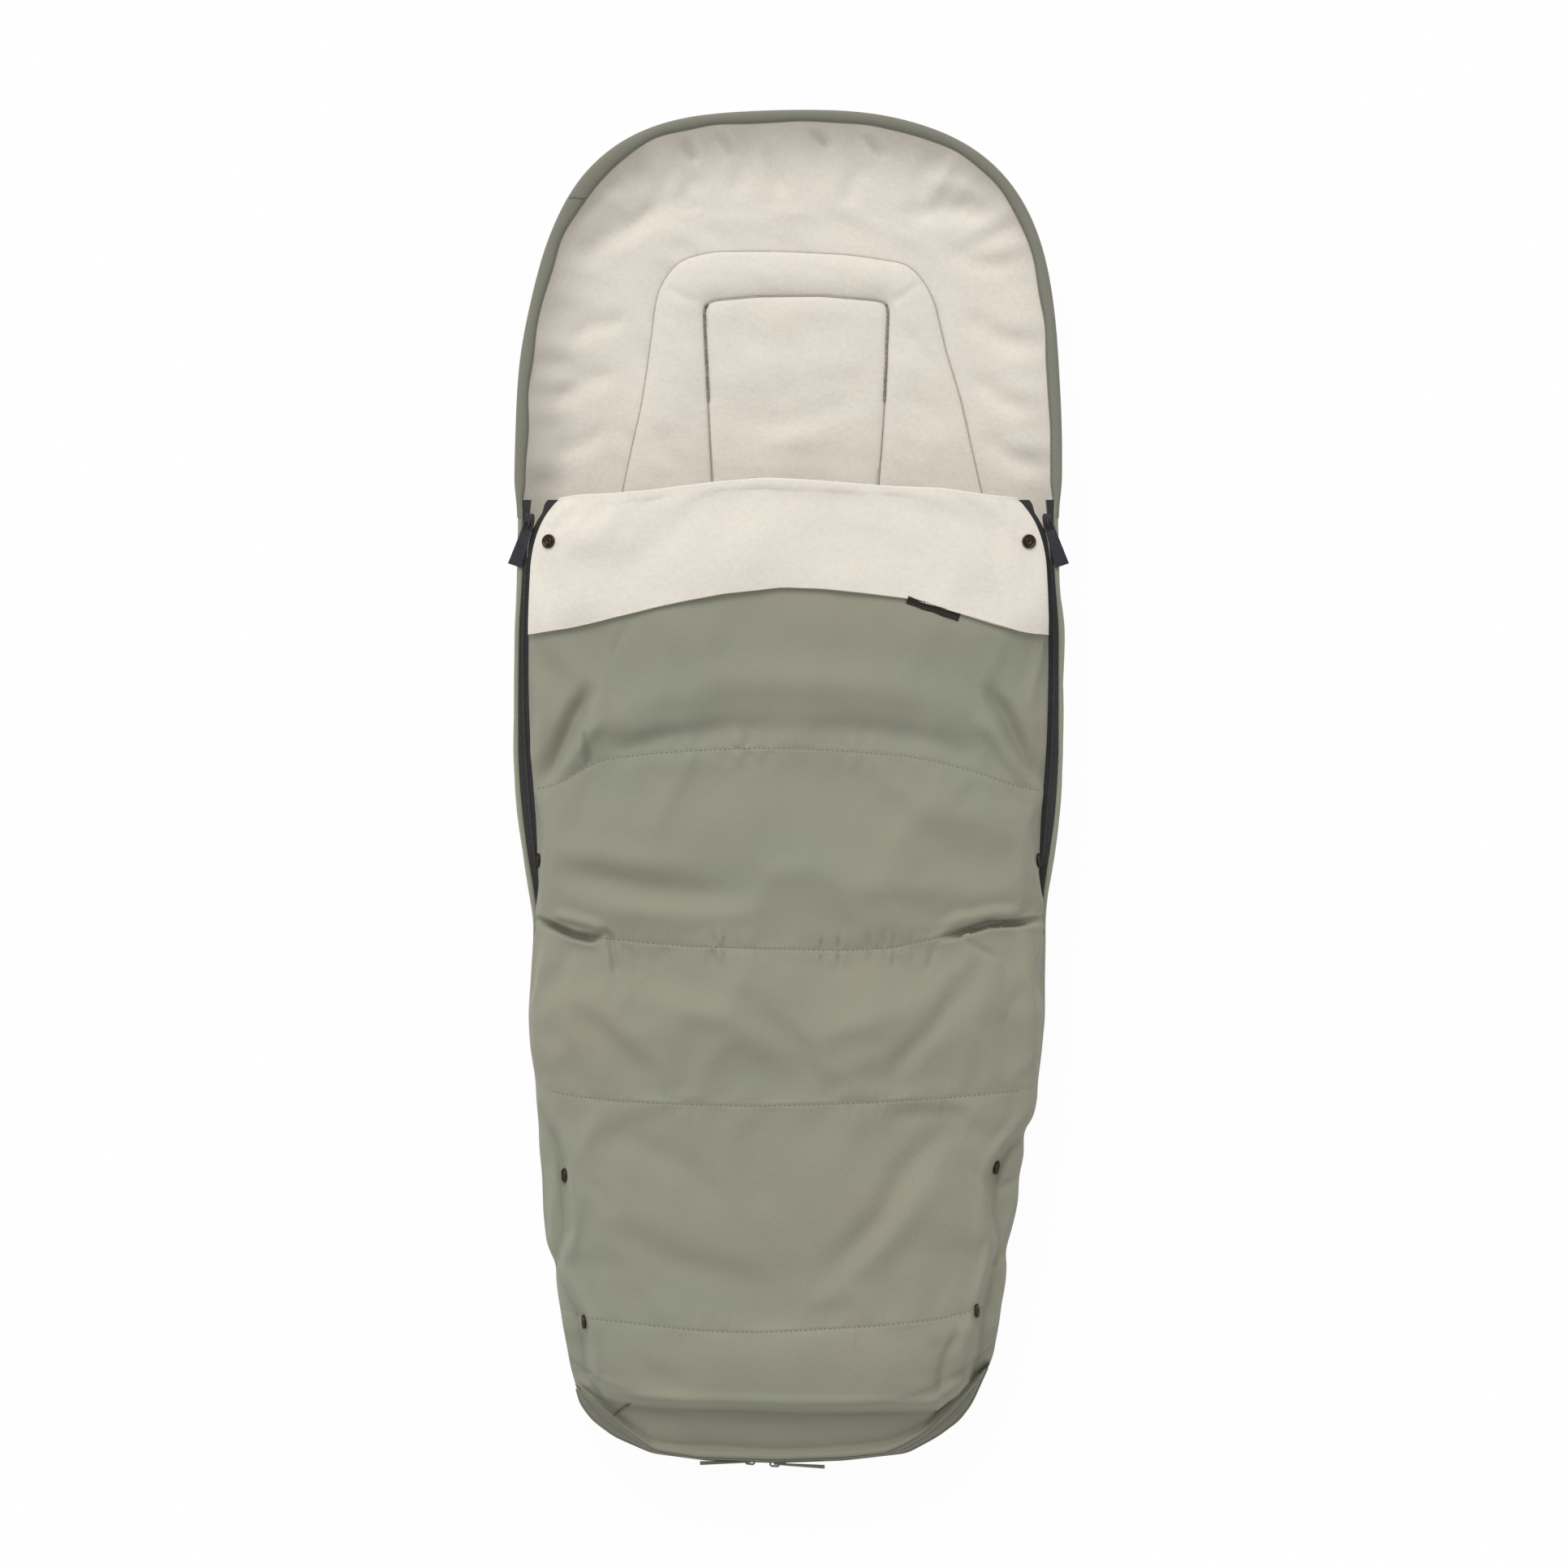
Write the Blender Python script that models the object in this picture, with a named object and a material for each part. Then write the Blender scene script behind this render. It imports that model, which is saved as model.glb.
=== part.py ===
"""Stroller footmuff lying on its back: a padded shell tub, a zipped quilted cover and a turned-down cuff.

Metres, +Z up, head end towards +Y, origin on the flat back under the middle.
"""
import math

import bmesh
import bpy
from mathutils import Matrix, Vector

# Overall sizes
head_reach = 0.499
foot_reach = 0.4995
widest_half = 0.2038
head_half = 0.2015
head_spring_y = 0.230
foot_half = 0.1641
foot_round_reach = 0.1095
foot_spring_y = foot_round_reach - foot_reach

# Clearances
gap = 0.0003
layer_gap = 0.0004
running_gap = 0.0004
cut_overrun = 0.006

# Shell tub, from its outer fabric to its fleece
shell_inset = 0.0007
shell_thick = 0.0012
wadding_thick = 0.0115
wadding_rim_thick = 0.0020
lining_thick = 0.0025
lining_rim_thick = 0.0015
rim_height = 0.0560
head_rim_height = 0.0370
head_rise_y = 0.470
bag_rim_y = 0.260
belly_height = 0.0240
floor_turn = 0.0220
padding_drop = 0.0070
binding_end_y = 0.2130
binding_wall = 0.0012
binding_leg = 0.0040

# Side zips, each on one arc seen from above
zip_to_edge = 0.0078
zip_radius = 1.230
zip_middle_y = 0.090
zip_top_y = 0.2090
zip_foot_y = -0.1110
tape_thick = 0.0010
tape_half_gap = 0.00015
coil_width = 0.0017
coil_thick = 0.0019
cover_tape_width = 0.0074
part_start_y = 0.1700
corner_turn = 0.0218
corner_turn_y = 0.2120
slider_rest_y = 0.1930

# Foot zip, one arc seen from above, in an upright band
foot_zip_radius = 0.2150
foot_zip_height = 0.0517
foot_zip_band = 0.0042
foot_zip_end = math.radians(52)
foot_sliders_x = -0.0190
foot_slider_pitch = 0.0180
foot_notch = 0.0080
shell_foot_drop = 0.0046
foot_drop_length = 0.0200
foot_drop_reach = 0.0795
foot_drop_end_y = foot_drop_reach - foot_reach
foot_drop_start_y = foot_drop_end_y + foot_drop_length

# Quilted cover, seam by seam from the mouth to the foot
mouth_y = 0.2220
seam_a_y = -0.0040
seam_a_bow = 0.0300
seam_b_y = -0.1120
seam_c_y = -0.2230
seam_c_bow = -0.0140
toe_top_length = 0.0650
toe_slope_reach = 0.0365
crest_y = toe_slope_reach - foot_reach
seam_d_y = crest_y + toe_top_length
cover_edge_gap = 0.0044
face_thick = 0.0015
cover_lining_thick = 0.0025
seam_fill = 0.0010
channel_depth = 0.0170
mouth_depth = 0.0130
mouth_crown = 0.0800
seam_a_crown = 0.0890
seam_b_crown = 0.0925
seam_c_crown = 0.0990
seam_d_crown = 0.1010
crest_crown = 0.1110
channel_puffs = (0.0070, 0.0110, 0.0110, 0.0110, 0.0060)
fold_lift = 0.0010

# Turned-down cuff
cuff_centre_y = 0.1450
cuff_side_y = 0.1100
cuff_lift = 0.0016
cuff_face_thick = 0.0010
cuff_fill_thick = 0.0050
cuff_fill_edge = 0.0010
cuff_fleece_thick = 0.0020
cuff_fold_z = 0.0620
cuff_end = math.radians(86)

# Bare woven tag on the cuff's lower edge
tag_length = 0.0390
tag_width = 0.0052
tag_thick = 0.0008
tag_x = 0.1060
tag_above_edge = 0.0030
tag_turn = math.radians(-20)

# Harness pad and panel on the fleece
pad_thick = 0.0050
pad_edge = 0.0040
pad_top_y = 0.3960
pad_foot_y = 0.0400
pad_top_half = 0.0600
pad_corner_half = 0.1010
pad_corner_y = 0.3600
pad_foot_half = 0.1600
pad_leg_rise = 0.0020
panel_top_y = 0.3610
panel_top_half = 0.0675
panel_foot_half = 0.0520
slot_width = 0.0076
slot_top_y = 0.3560
slot_foot_y = 0.2830
slot_x = 0.0662
crotch_slot_y = 0.0850
crotch_slot_length = 0.0500

# Snap caps
snap_radius = 0.0050
snap_height = 0.0024
snap_dimple = 0.0006
snap_lift = 0.0005
snap_dimple_radius = 0.0022
cuff_snap_inset = 0.0107
cuff_snap_y = 0.1790
side_snap_inset = 0.0029
side_snap_y = -0.0560
lower_snap_inset = 0.0174
lower_snap_y = -0.2860
toe_snap_inset = 0.0160
toe_snap_below = 0.0100

# Zip slider and pull, along the zip, across it and out of its face
slider_length = 0.0140
slider_half = 0.0037
slider_plate = 0.0011
slider_post = 0.0014
slider_lip = 0.0007
bail_length = 0.0066
bail_width = 0.0016
bail_height = 0.0036
bail_wall = 0.0012
pull_bar = 0.0007
side_pull_gap = 0.0015
foot_pull_gap = 0.0004
pull_arm = 0.0010
pull_neck = 0.0052
side_pull_length = 0.0270
side_pull_width = 0.0066
side_pull_thick = 0.0016
side_pull_turn = math.radians(21)
side_pull_dip = math.radians(3)
foot_pull_length = 0.0340
foot_pull_width = 0.0034
foot_pull_thick = 0.0012

# Counts
head_steps = 8
side_steps = 10
foot_steps = 8
wall_steps = 3
across_steps = 12
channel_steps = 5
zip_steps = 16
foot_zip_steps = 30
cap_sides = 12

# Shapes as shares and exponents
head_power = 3.2
foot_power = 2.8
arch_power = 3.3
bow_power = 3.0
split_lean = Vector((0.31, 0.52, 0.83))
side_place_shares = (0.0, 0.048, 0.129, 0.226, 0.371, 0.468, 0.552, 0.637, 0.726, 0.806, 0.903, 1.0)
side_half_shares = (0.9887, 0.980, 0.994, 1.0, 0.989, 0.961, 0.926, 0.937, 0.915, 0.887, 0.855, 0.805)

# Colours, roughness and metallic value of each finish
finishes = {
    "sage": ((0.262, 0.262, 0.204, 1.0), 0.78, 0.0),
    "sage_trim": ((0.238, 0.231, 0.178, 1.0), 0.82, 0.0),
    "fleece": ((0.730, 0.694, 0.624, 1.0), 0.95, 0.0),
    "wadding": ((0.830, 0.830, 0.810, 1.0), 0.95, 0.0),
    "charcoal": ((0.036, 0.036, 0.035, 1.0), 0.60, 0.0),
    "coil": ((0.030, 0.030, 0.030, 1.0), 0.45, 0.0),
    "slider_metal": ((0.028, 0.028, 0.032, 1.0), 0.42, 0.6),
    "foot_metal": ((0.235, 0.222, 0.170, 1.0), 0.42, 0.5),
    "bronze": ((0.035, 0.025, 0.015, 1.0), 0.38, 0.8),
    "tag": ((0.052, 0.042, 0.030, 1.0), 0.85, 0.0),
}


def clear_scene():
    for thing in list(bpy.data.objects):
        bpy.data.objects.remove(thing, do_unlink=True)


def finish(name):
    """The material of one finish, made once."""
    found = bpy.data.materials.get(name)
    if found:
        return found
    made = bpy.data.materials.new(name)
    made.use_nodes = True
    shader = made.node_tree.nodes["Principled BSDF"]
    colour, roughness, metallic = finishes[name]
    shader.inputs["Base Color"].default_value = colour
    shader.inputs["Roughness"].default_value = roughness
    shader.inputs["Metallic"].default_value = metallic
    made.diffuse_color = colour
    return made


def pivot(name, place, parent=None):
    """An empty on a joint's axis, which carries the pieces of one moving body."""
    empty = bpy.data.objects.new(name, None)
    bpy.context.scene.collection.objects.link(empty)
    empty.location = place - (parent.matrix_world.translation if parent else Vector())
    empty.parent = parent
    bpy.context.view_layer.update()
    return empty


def split_quad(mesh, corners):
    """Two triangles, cut along the diagonal nearer to one slanted direction, so that layers match."""
    a, b, c, d = corners
    if abs((c.co - a.co).dot(split_lean)) >= abs((d.co - b.co).dot(split_lean)):
        mesh.faces.new((a, b, c))
        mesh.faces.new((a, c, d))
    else:
        mesh.faces.new((a, b, d))
        mesh.faces.new((b, c, d))


def loft(name, rings, finish_name, carrier=None):
    """One closed solid through rings of equal length, with both ends capped."""
    mesh = bmesh.new()
    origin = carrier.matrix_world.translation if carrier else Vector()
    made = [[mesh.verts.new(Vector(point) - origin) for point in ring] for ring in rings]
    for low, high in zip(made, made[1:]):
        for k in range(len(low)):
            after = (k + 1) % len(low)
            split_quad(mesh, (low[k], low[after], high[after], high[k]))
    caps = [mesh.faces.new(made[0][::-1]), mesh.faces.new(made[-1])]
    mesh.normal_update()
    bmesh.ops.triangulate(mesh, faces=caps, quad_method="FIXED", ngon_method="EAR_CLIP")
    bmesh.ops.recalc_face_normals(mesh, faces=mesh.faces)
    if mesh.calc_volume(signed=True) < 0:
        bmesh.ops.reverse_faces(mesh, faces=mesh.faces)
    data = bpy.data.meshes.new(name)
    mesh.to_mesh(data)
    mesh.free()
    data.shade_smooth()
    data.set_sharp_from_angle(angle=math.radians(50))
    data.materials.append(finish(finish_name))
    thing = bpy.data.objects.new(name, data)
    bpy.context.scene.collection.objects.link(thing)
    thing.parent = carrier
    return thing


def boolean(thing, other, operation, solver="EXACT"):
    """Cut or join another solid, which the build then leaves out."""
    step = thing.modifiers.new(operation.lower() + "_" + other.name, "BOOLEAN")
    step.operation = operation
    step.object = other
    step.solver = solver
    other.hide_render = True
    other.display_type = "WIRE"


def ease(low, high, value):
    """0 up to low, 1 from high on, smooth between; low may be the larger."""
    share = min(max((value - low) / (high - low), 0.0), 1.0)
    return share * share * (3 - 2 * share)


def blend(first, last, share):
    return first + (last - first) * share


def through(places, values, place):
    """A smooth curve through a table, with the slopes of its neighbours."""
    k = max(i for i in range(len(places) - 1) if places[i] <= place or i == 0)
    spans = [places[i + 1] - places[i] for i in range(len(places) - 1)]
    rises = [(values[i + 1] - values[i]) / spans[i] for i in range(len(spans))]

    def slope(i):
        if i == 0 or i == len(spans):
            return 0.0
        return (rises[i - 1] + rises[i]) / 2

    share = (place - places[k]) / spans[k]
    start = values[k] * (1 + 2 * share) * (1 - share) ** 2 + slope(k) * spans[k] * share * (1 - share) ** 2
    end = values[k + 1] * (3 - 2 * share) * share ** 2 - slope(k + 1) * spans[k] * share ** 2 * (1 - share)
    return start + end


def half_width(y):
    """Half the outline's width, seen from above."""
    if y >= head_spring_y:
        share = min((y - head_spring_y) / (head_reach - head_spring_y), 1.0)
        return head_half * (1 - share ** head_power) ** (1 / head_power)
    if y <= foot_spring_y:
        share = min((foot_spring_y - y) / (foot_spring_y + foot_reach), 1.0)
        return foot_half * (1 - share ** foot_power) ** (1 / foot_power)
    share = (head_spring_y - y) / (head_spring_y - foot_spring_y)
    halves = [widest_half * k for k in side_half_shares]
    halves[0] = head_half
    halves[-1] = foot_half
    return through(side_place_shares, halves, share)


def outline():
    """The whole outline, from the head's middle down the right side and up the left."""
    right = []
    for k in range(head_steps):
        turn = math.radians(90) * k / head_steps
        right.append((
            head_half * math.sin(turn) ** (2 / head_power),
            head_spring_y + (head_reach - head_spring_y) * math.cos(turn) ** (2 / head_power),
        ))
    for k in range(side_steps):
        y = blend(head_spring_y, foot_spring_y, k / side_steps)
        right.append((half_width(y), y))
    for k in range(foot_steps + 1):
        turn = math.radians(90) * k / foot_steps
        across = math.cos(turn) ** (2 / foot_power) if k < foot_steps else 0.0
        right.append((
            foot_half * across,
            foot_spring_y - (foot_spring_y + foot_reach) * math.sin(turn) ** (2 / foot_power),
        ))
    left = [(-x, y) for x, y in right[-2:0:-1]]
    return [Vector((x, y, 0.0)) for x, y in right + left]


def inward(points):
    """Unit normals of a closed clockwise loop, pointing in."""
    normals = []
    for k, point in enumerate(points):
        along = points[(k + 1) % len(points)] - points[k - 1]
        normals.append(Vector((along.y, -along.x, 0.0)).normalized())
    return normals


def rim_z(y):
    """Height of the shell's upper edge."""
    if y >= 0.0:
        return blend(rim_height, head_rim_height, ease(bag_rim_y, head_rise_y, y))
    foot_rim = foot_zip_height - shell_foot_drop
    return blend(rim_height, foot_rim, ease(foot_drop_start_y, foot_drop_end_y, y))


foot_zip_centre = Vector((0.0, -foot_reach + foot_zip_radius, 0.0))


def foot_lean(point, normal):
    """How far in the foot's upper edge lies to meet the zip's arc."""
    away = point - foot_zip_centre
    toward = away.dot(normal)
    reach = foot_zip_radius + tape_thick / 2
    inside = toward * toward - away.length_squared + reach * reach
    if point.y > foot_drop_start_y or inside <= 0.0:
        return 0.0
    return max(-toward - math.sqrt(inside), 0.0)


def wall_layer(depth, rim_depth, drop, outside):
    """Rings of one surface of the tub, from the floor's edge to the rim."""
    points = outline()
    normals = inward(points)
    rings = []
    for k in range(wall_steps + 2):
        ring = []
        for point, normal in zip(points, normals):
            if k <= wall_steps:
                turn = math.radians(90) * k / wall_steps
                across = shell_inset + depth + (floor_turn - depth) * (1 - math.sin(turn))
                height = depth + (belly_height - depth) * (1 - math.cos(turn))
            else:
                lowered = drop * ease(bag_rim_y, binding_end_y, point.y)
                across = shell_inset + rim_depth + foot_lean(point, normal)
                height = rim_z(point.y) - lowered
            ring.append(point + normal * across + Vector((0.0, 0.0, height)))
        rings.append(ring)
    return rings if outside else rings[::-1]


def tub(name, outer, inner, drop, finish_name):
    """A tub between two depths, each given at the floor and at the rim."""
    rings = wall_layer(outer[0], outer[1], drop, True) + wall_layer(inner[0], inner[1], drop, False)
    return loft(name, rings, finish_name)


def back_depths():
    """Depth of each tub layer's outer and inner face, at the floor and at the rim."""
    shell = ((0.0, 0.0), (shell_thick, shell_thick))
    start = (shell_thick + gap, shell_thick + gap)
    wadding = (start, (start[0] + wadding_thick, start[1] + wadding_rim_thick))
    start = (wadding[1][0] + gap, wadding[1][1] + gap)
    lining = (start, (start[0] + lining_thick, start[1] + lining_rim_thick))
    return shell, wadding, lining


def make_tubs():
    shell, wadding, lining = back_depths()
    return (
        tub("back_shell", shell[0], shell[1], 0.0, "sage"),
        tub("back_wadding", wadding[0], wadding[1], padding_drop, "wadding"),
        tub("back_lining", lining[0], lining[1], padding_drop, "fleece"),
    )


def make_binding():
    """A folded tape over the head's edge, from one zip round to the other."""
    points = outline()
    normals = inward(points)
    picked = [k for k in range(len(points)) if points[k].y >= binding_end_y]
    picked = picked[len(picked) // 2 + 1:] + picked[:len(picked) // 2 + 1]
    floor_depth, rim_depth = back_depths()[2][1]
    inner = shell_inset + rim_depth + gap
    outer = shell_inset - gap
    rings = []
    for k in picked:
        top = rim_z(points[k].y) + gap
        lean = binding_leg * (floor_depth - rim_depth) / (top - padding_drop - belly_height)
        section = (
            (outer - binding_wall, top - binding_leg),
            (outer - binding_wall, top + binding_wall),
            (inner + binding_wall, top + binding_wall),
            (inner + lean + binding_wall, top - binding_leg),
            (inner + lean, top - binding_leg),
            (inner, top),
            (outer, top),
            (outer, top - binding_leg),
        )
        rings.append([points[k] + normals[k] * across + Vector((0.0, 0.0, z)) for across, z in section])
    return loft("rim_binding", rings, "sage_trim")


def inset(points, distance):
    """A clockwise loop moved in by a distance, with mitred corners."""
    moved = []
    for k, point in enumerate(points):
        before = (point - points[k - 1]).normalized()
        after = (points[(k + 1) % len(points)] - point).normalized()
        first = Vector((before.y, -before.x, 0.0))
        second = Vector((after.y, -after.x, 0.0))
        miter = (first + second) / (1 + first.dot(second))
        moved.append(point + miter * distance)
    return moved


def crowned_plate(name, points, base, thick, edge, finish_name):
    """A flat pad with a rounded upper edge."""
    levels = ((0.0, 0.0), (0.0, 0.5), (0.3, 0.85), (1.0, 1.0))
    rings = []
    for share, rise in levels:
        ring = inset(points, edge * share)
        rings.append([point + Vector((0.0, 0.0, base + thick * rise)) for point in ring])
    return loft(name, rings, finish_name)


def make_pads():
    """The harness pad round its panel, laid on the fleece of the back."""
    base = back_depths()[2][1][0] + gap
    seam = layer_gap
    corner_shares = ((0.45, 0.05), (0.80, 0.28), (0.96, 0.66))
    arc = [(blend(pad_top_half, pad_corner_half, u), blend(pad_top_y, pad_corner_y, v))
           for u, v in corner_shares]
    right = [(pad_top_half, pad_top_y)] + arc + [(pad_corner_half, pad_corner_y), (pad_foot_half, pad_foot_y)]
    hole = [(panel_foot_half + seam, pad_foot_y + pad_leg_rise), (panel_top_half + seam, panel_top_y + seam)]
    loop = right + hole + [(-x, y) for x, y in hole[::-1]] + [(-x, y) for x, y in right[::-1]]
    frame = crowned_plate("harness_pad", [Vector((x, y, 0.0)) for x, y in loop],
                          base, pad_thick, pad_edge, "fleece")
    panel_loop = (
        (-panel_top_half, panel_top_y), (panel_top_half, panel_top_y),
        (panel_foot_half, pad_foot_y), (-panel_foot_half, pad_foot_y),
    )
    panel = crowned_plate("harness_panel", [Vector((x, y, 0.0)) for x, y in panel_loop],
                          base, pad_thick, pad_edge, "fleece")
    return frame, panel


def box_rings(low, high):
    corners = ((low[0], low[1]), (high[0], low[1]), (high[0], high[1]), (low[0], high[1]))
    return [[(x, y, z) for x, y in corners] for z in (low[2], high[2])]


def cut_slots(tubs, pads):
    """Harness slots beside the panel and a crotch strap slot through it, cut through every back layer."""
    top = back_depths()[2][1][0] + pad_thick + cut_overrun
    for side, word in ((-1, "left"), (1, "right")):
        middle = side * slot_x
        low = (middle - slot_width / 2, slot_foot_y, -cut_overrun)
        high = (middle + slot_width / 2, slot_top_y, top)
        cutter = loft("slot_cutter_" + word, box_rings(low, high), "wadding")
        for thing in (*tubs, *pads):
            boolean(thing, cutter, "DIFFERENCE")
    low = (-crotch_slot_length / 2, crotch_slot_y - slot_width / 2, -cut_overrun)
    high = (crotch_slot_length / 2, crotch_slot_y + slot_width / 2, top)
    cutter = loft("crotch_cutter", box_rings(low, high), "wadding")
    for thing in (*tubs, pads[1]):
        boolean(thing, cutter, "DIFFERENCE")


zip_half = widest_half - zip_to_edge


def zip_x(y, outward=0.0):
    """The side zip's middle line, on its arc, or a line beside it."""
    radius = zip_radius + outward
    return zip_half - zip_radius + math.sqrt(radius ** 2 - (y - zip_middle_y) ** 2)


def parting(y):
    """How far the cover's edge turns in from the zip towards the mouth."""
    share = max(y - part_start_y, 0.0) / (corner_turn_y - part_start_y)
    return corner_turn * share ** 1.5


tape_z = rim_height + gap
cover_base = tape_z + tape_thick + gap
lower_base = rim_height + gap


def make_side_zip(side, word, cover):
    """Two tapes that meet edge to edge, each with its coil sewn under its edge."""
    def strip(name, y_from, y_to, edges, low, high, finish_name, carrier):
        rings = []
        for k in range(zip_steps + 1):
            y = blend(y_from, y_to, k / zip_steps)
            inner, outer = edges(y)
            corners = ((inner, low), (outer, low), (outer, high), (inner, high))
            rings.append([(side * x, y, z) for x, z in corners])
        return loft(name, rings, finish_name, carrier)

    def shell_tape(y):
        return zip_x(y, tape_half_gap), half_width(y) - shell_inset

    def shell_coil(y):
        return zip_x(y, tape_half_gap), zip_x(y, tape_half_gap + coil_width)

    def cover_tape(y):
        edge = zip_x(y, -tape_half_gap) - parting(y)
        return edge - cover_tape_width, edge

    def cover_coil(y):
        return zip_x(y, -tape_half_gap - coil_width), zip_x(y, -tape_half_gap)

    tape_top = tape_z + tape_thick
    coil_top = tape_z - gap
    coil_foot = coil_top - coil_thick
    strip("zip_tape_shell_" + word, zip_foot_y, zip_top_y, shell_tape, tape_z, tape_top, "charcoal", None)
    strip("zip_coil_shell_" + word, zip_foot_y, zip_top_y, shell_coil, coil_foot, coil_top, "coil", None)
    strip("zip_tape_cover_" + word, zip_foot_y, zip_top_y, cover_tape, tape_z, tape_top, "charcoal", cover)
    strip("zip_coil_cover_" + word, zip_foot_y, part_start_y, cover_coil, coil_foot, coil_top, "coil", cover)


def upper_half(y):
    """Half width of the upper cover at its base."""
    return zip_x(y) - cover_edge_gap - parting(y)


def lower_half(y):
    """Half width of the lower cover and the toe flap at their base."""
    half = half_width(y) - shell_inset
    if y > foot_zip_centre.y:
        return half
    reach = foot_zip_radius + tape_thick / 2
    arc = math.sqrt(max(reach ** 2 - (y - foot_zip_centre.y) ** 2, 0.0))
    return min(half, arc)


class Panel:
    """A run of quilted channels: rows of stations, each with its place, crown, depth and seam bow."""

    def __init__(self, half, base, channels, steps=channel_steps):
        self.half = half
        self.base = base
        self.rows = []
        self.channels = []
        for places, crowns, depths, bows, puff in channels:
            first = len(self.rows) - 1 if self.rows else 0
            for k in range(0 if not self.rows else 1, steps + 1):
                share = k / steps
                swell = math.sin(math.pi * share)
                self.rows.append((
                    blend(places[0], places[1], share),
                    blend(crowns[0], crowns[1], share) + puff * swell,
                    blend(depths[0], depths[1], share) + (channel_depth - max(depths)) * swell,
                    blend(bows[0], bows[1], share),
                ))
            self.channels.append((first, len(self.rows) - 1))

    def point(self, row, turn, depth):
        """A point of the surface that lies a depth inside the outer one."""
        y, crown, total, bow = row
        across = math.copysign(abs(math.sin(turn)) ** (2 / arch_power), turn)
        rise = max(math.cos(turn), 0.0) ** (2 / arch_power)
        y += bow * (1 - abs(across) ** bow_power)
        x = (self.half(y) - depth) * across
        return Vector((x, y, self.base + (crown - depth - self.base) * rise))

    def layer(self, name, rows, outer, inner, finish_name, carrier):
        """A solid between two depths, each a function of a row's total depth."""
        turns = [math.radians(90) * (2 * k / across_steps - 1) for k in range(across_steps + 1)]
        rings = []
        for row in rows:
            top = [self.point(row, turn, outer(row[2])) for turn in turns]
            under = [self.point(row, turn, inner(row[2])) for turn in reversed(turns)]
            rings.append(top + under)
        return loft(name, rings, finish_name, carrier)

    def dress(self, prefix, numbers, carrier):
        """Face, lining and one fill for each channel."""
        self.layer(prefix + "_face", self.rows, lambda t: 0.0, lambda t: face_thick, "sage", carrier)
        self.layer(prefix + "_lining", self.rows, lambda t: t - cover_lining_thick, lambda t: t, "fleece", carrier)
        for number, (first, last) in zip(numbers, self.channels):
            rows = self.rows[first:last + 1]
            rows[0] = (rows[0][0] - layer_gap, *rows[0][1:])
            if rows[-1][0] < 0.0:
                rows[-1] = (rows[-1][0] + layer_gap, *rows[-1][1:])
            self.layer(
                f"{prefix}_fill_{number}", rows,
                lambda t: face_thick + layer_gap, lambda t: t - cover_lining_thick - layer_gap,
                "wadding", carrier,
            )


seam_depth = face_thick + cover_lining_thick + seam_fill + 2 * layer_gap


def upper_panel():
    """Channels 1 and 2, from the mouth down to the fold."""
    return Panel(upper_half, cover_base, (
        ((mouth_y, seam_a_y), (mouth_crown, seam_a_crown), (mouth_depth, seam_depth),
         (0.0, seam_a_bow), channel_puffs[0]),
        ((seam_a_y, seam_b_y + gap), (seam_a_crown, seam_b_crown), (seam_depth, seam_depth),
         (seam_a_bow, 0.0), channel_puffs[1]),
    ))


def lower_panel():
    """Channels 3 and 4, sewn down to the shell."""
    return Panel(lower_half, lower_base, (
        ((seam_b_y - gap, seam_c_y), (seam_b_crown, seam_c_crown), (seam_depth, seam_depth),
         (0.0, seam_c_bow), channel_puffs[2]),
        ((seam_c_y, seam_d_y + gap), (seam_c_crown, seam_d_crown), (seam_depth, seam_depth),
         (seam_c_bow, 0.0), channel_puffs[3]),
    ))


class ToePanel(Panel):
    """Channel 5 and the slope down to the foot zip."""

    def __init__(self):
        super().__init__(lower_half, lower_base, (
            ((seam_d_y - gap, crest_y), (seam_d_crown, crest_crown), (seam_depth, seam_depth),
             (0.0, 0.0), channel_puffs[4]),
        ))
        self.end = -foot_reach - tape_thick / 2
        slope_turns = (24, 46, 64, 77, 85)
        for turn in slope_turns:
            self.rows.append((math.radians(turn), crest_crown, seam_depth, 0.0))
        self.channels[0] = (0, len(self.rows) - 1)

    def point(self, row, turn, depth):
        place = row[0]
        if place <= 0.0:
            return super().point(row, turn, depth)
        y = blend(crest_y, self.end + depth, math.sin(place) ** (2 / arch_power))
        fall = math.cos(place) ** (2 / arch_power)
        across = math.copysign(abs(math.sin(turn)) ** (2 / arch_power), turn)
        rise = max(math.cos(turn), 0.0) ** (2 / arch_power)
        outer_half = lower_half(blend(crest_y, self.end, math.sin(place) ** (2 / arch_power)))
        half = outer_half - depth * outer_half / lower_half(crest_y)
        top = self.base + (row[1] - depth - self.base) * fall * rise
        return Vector((half * across, y, top))


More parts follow.
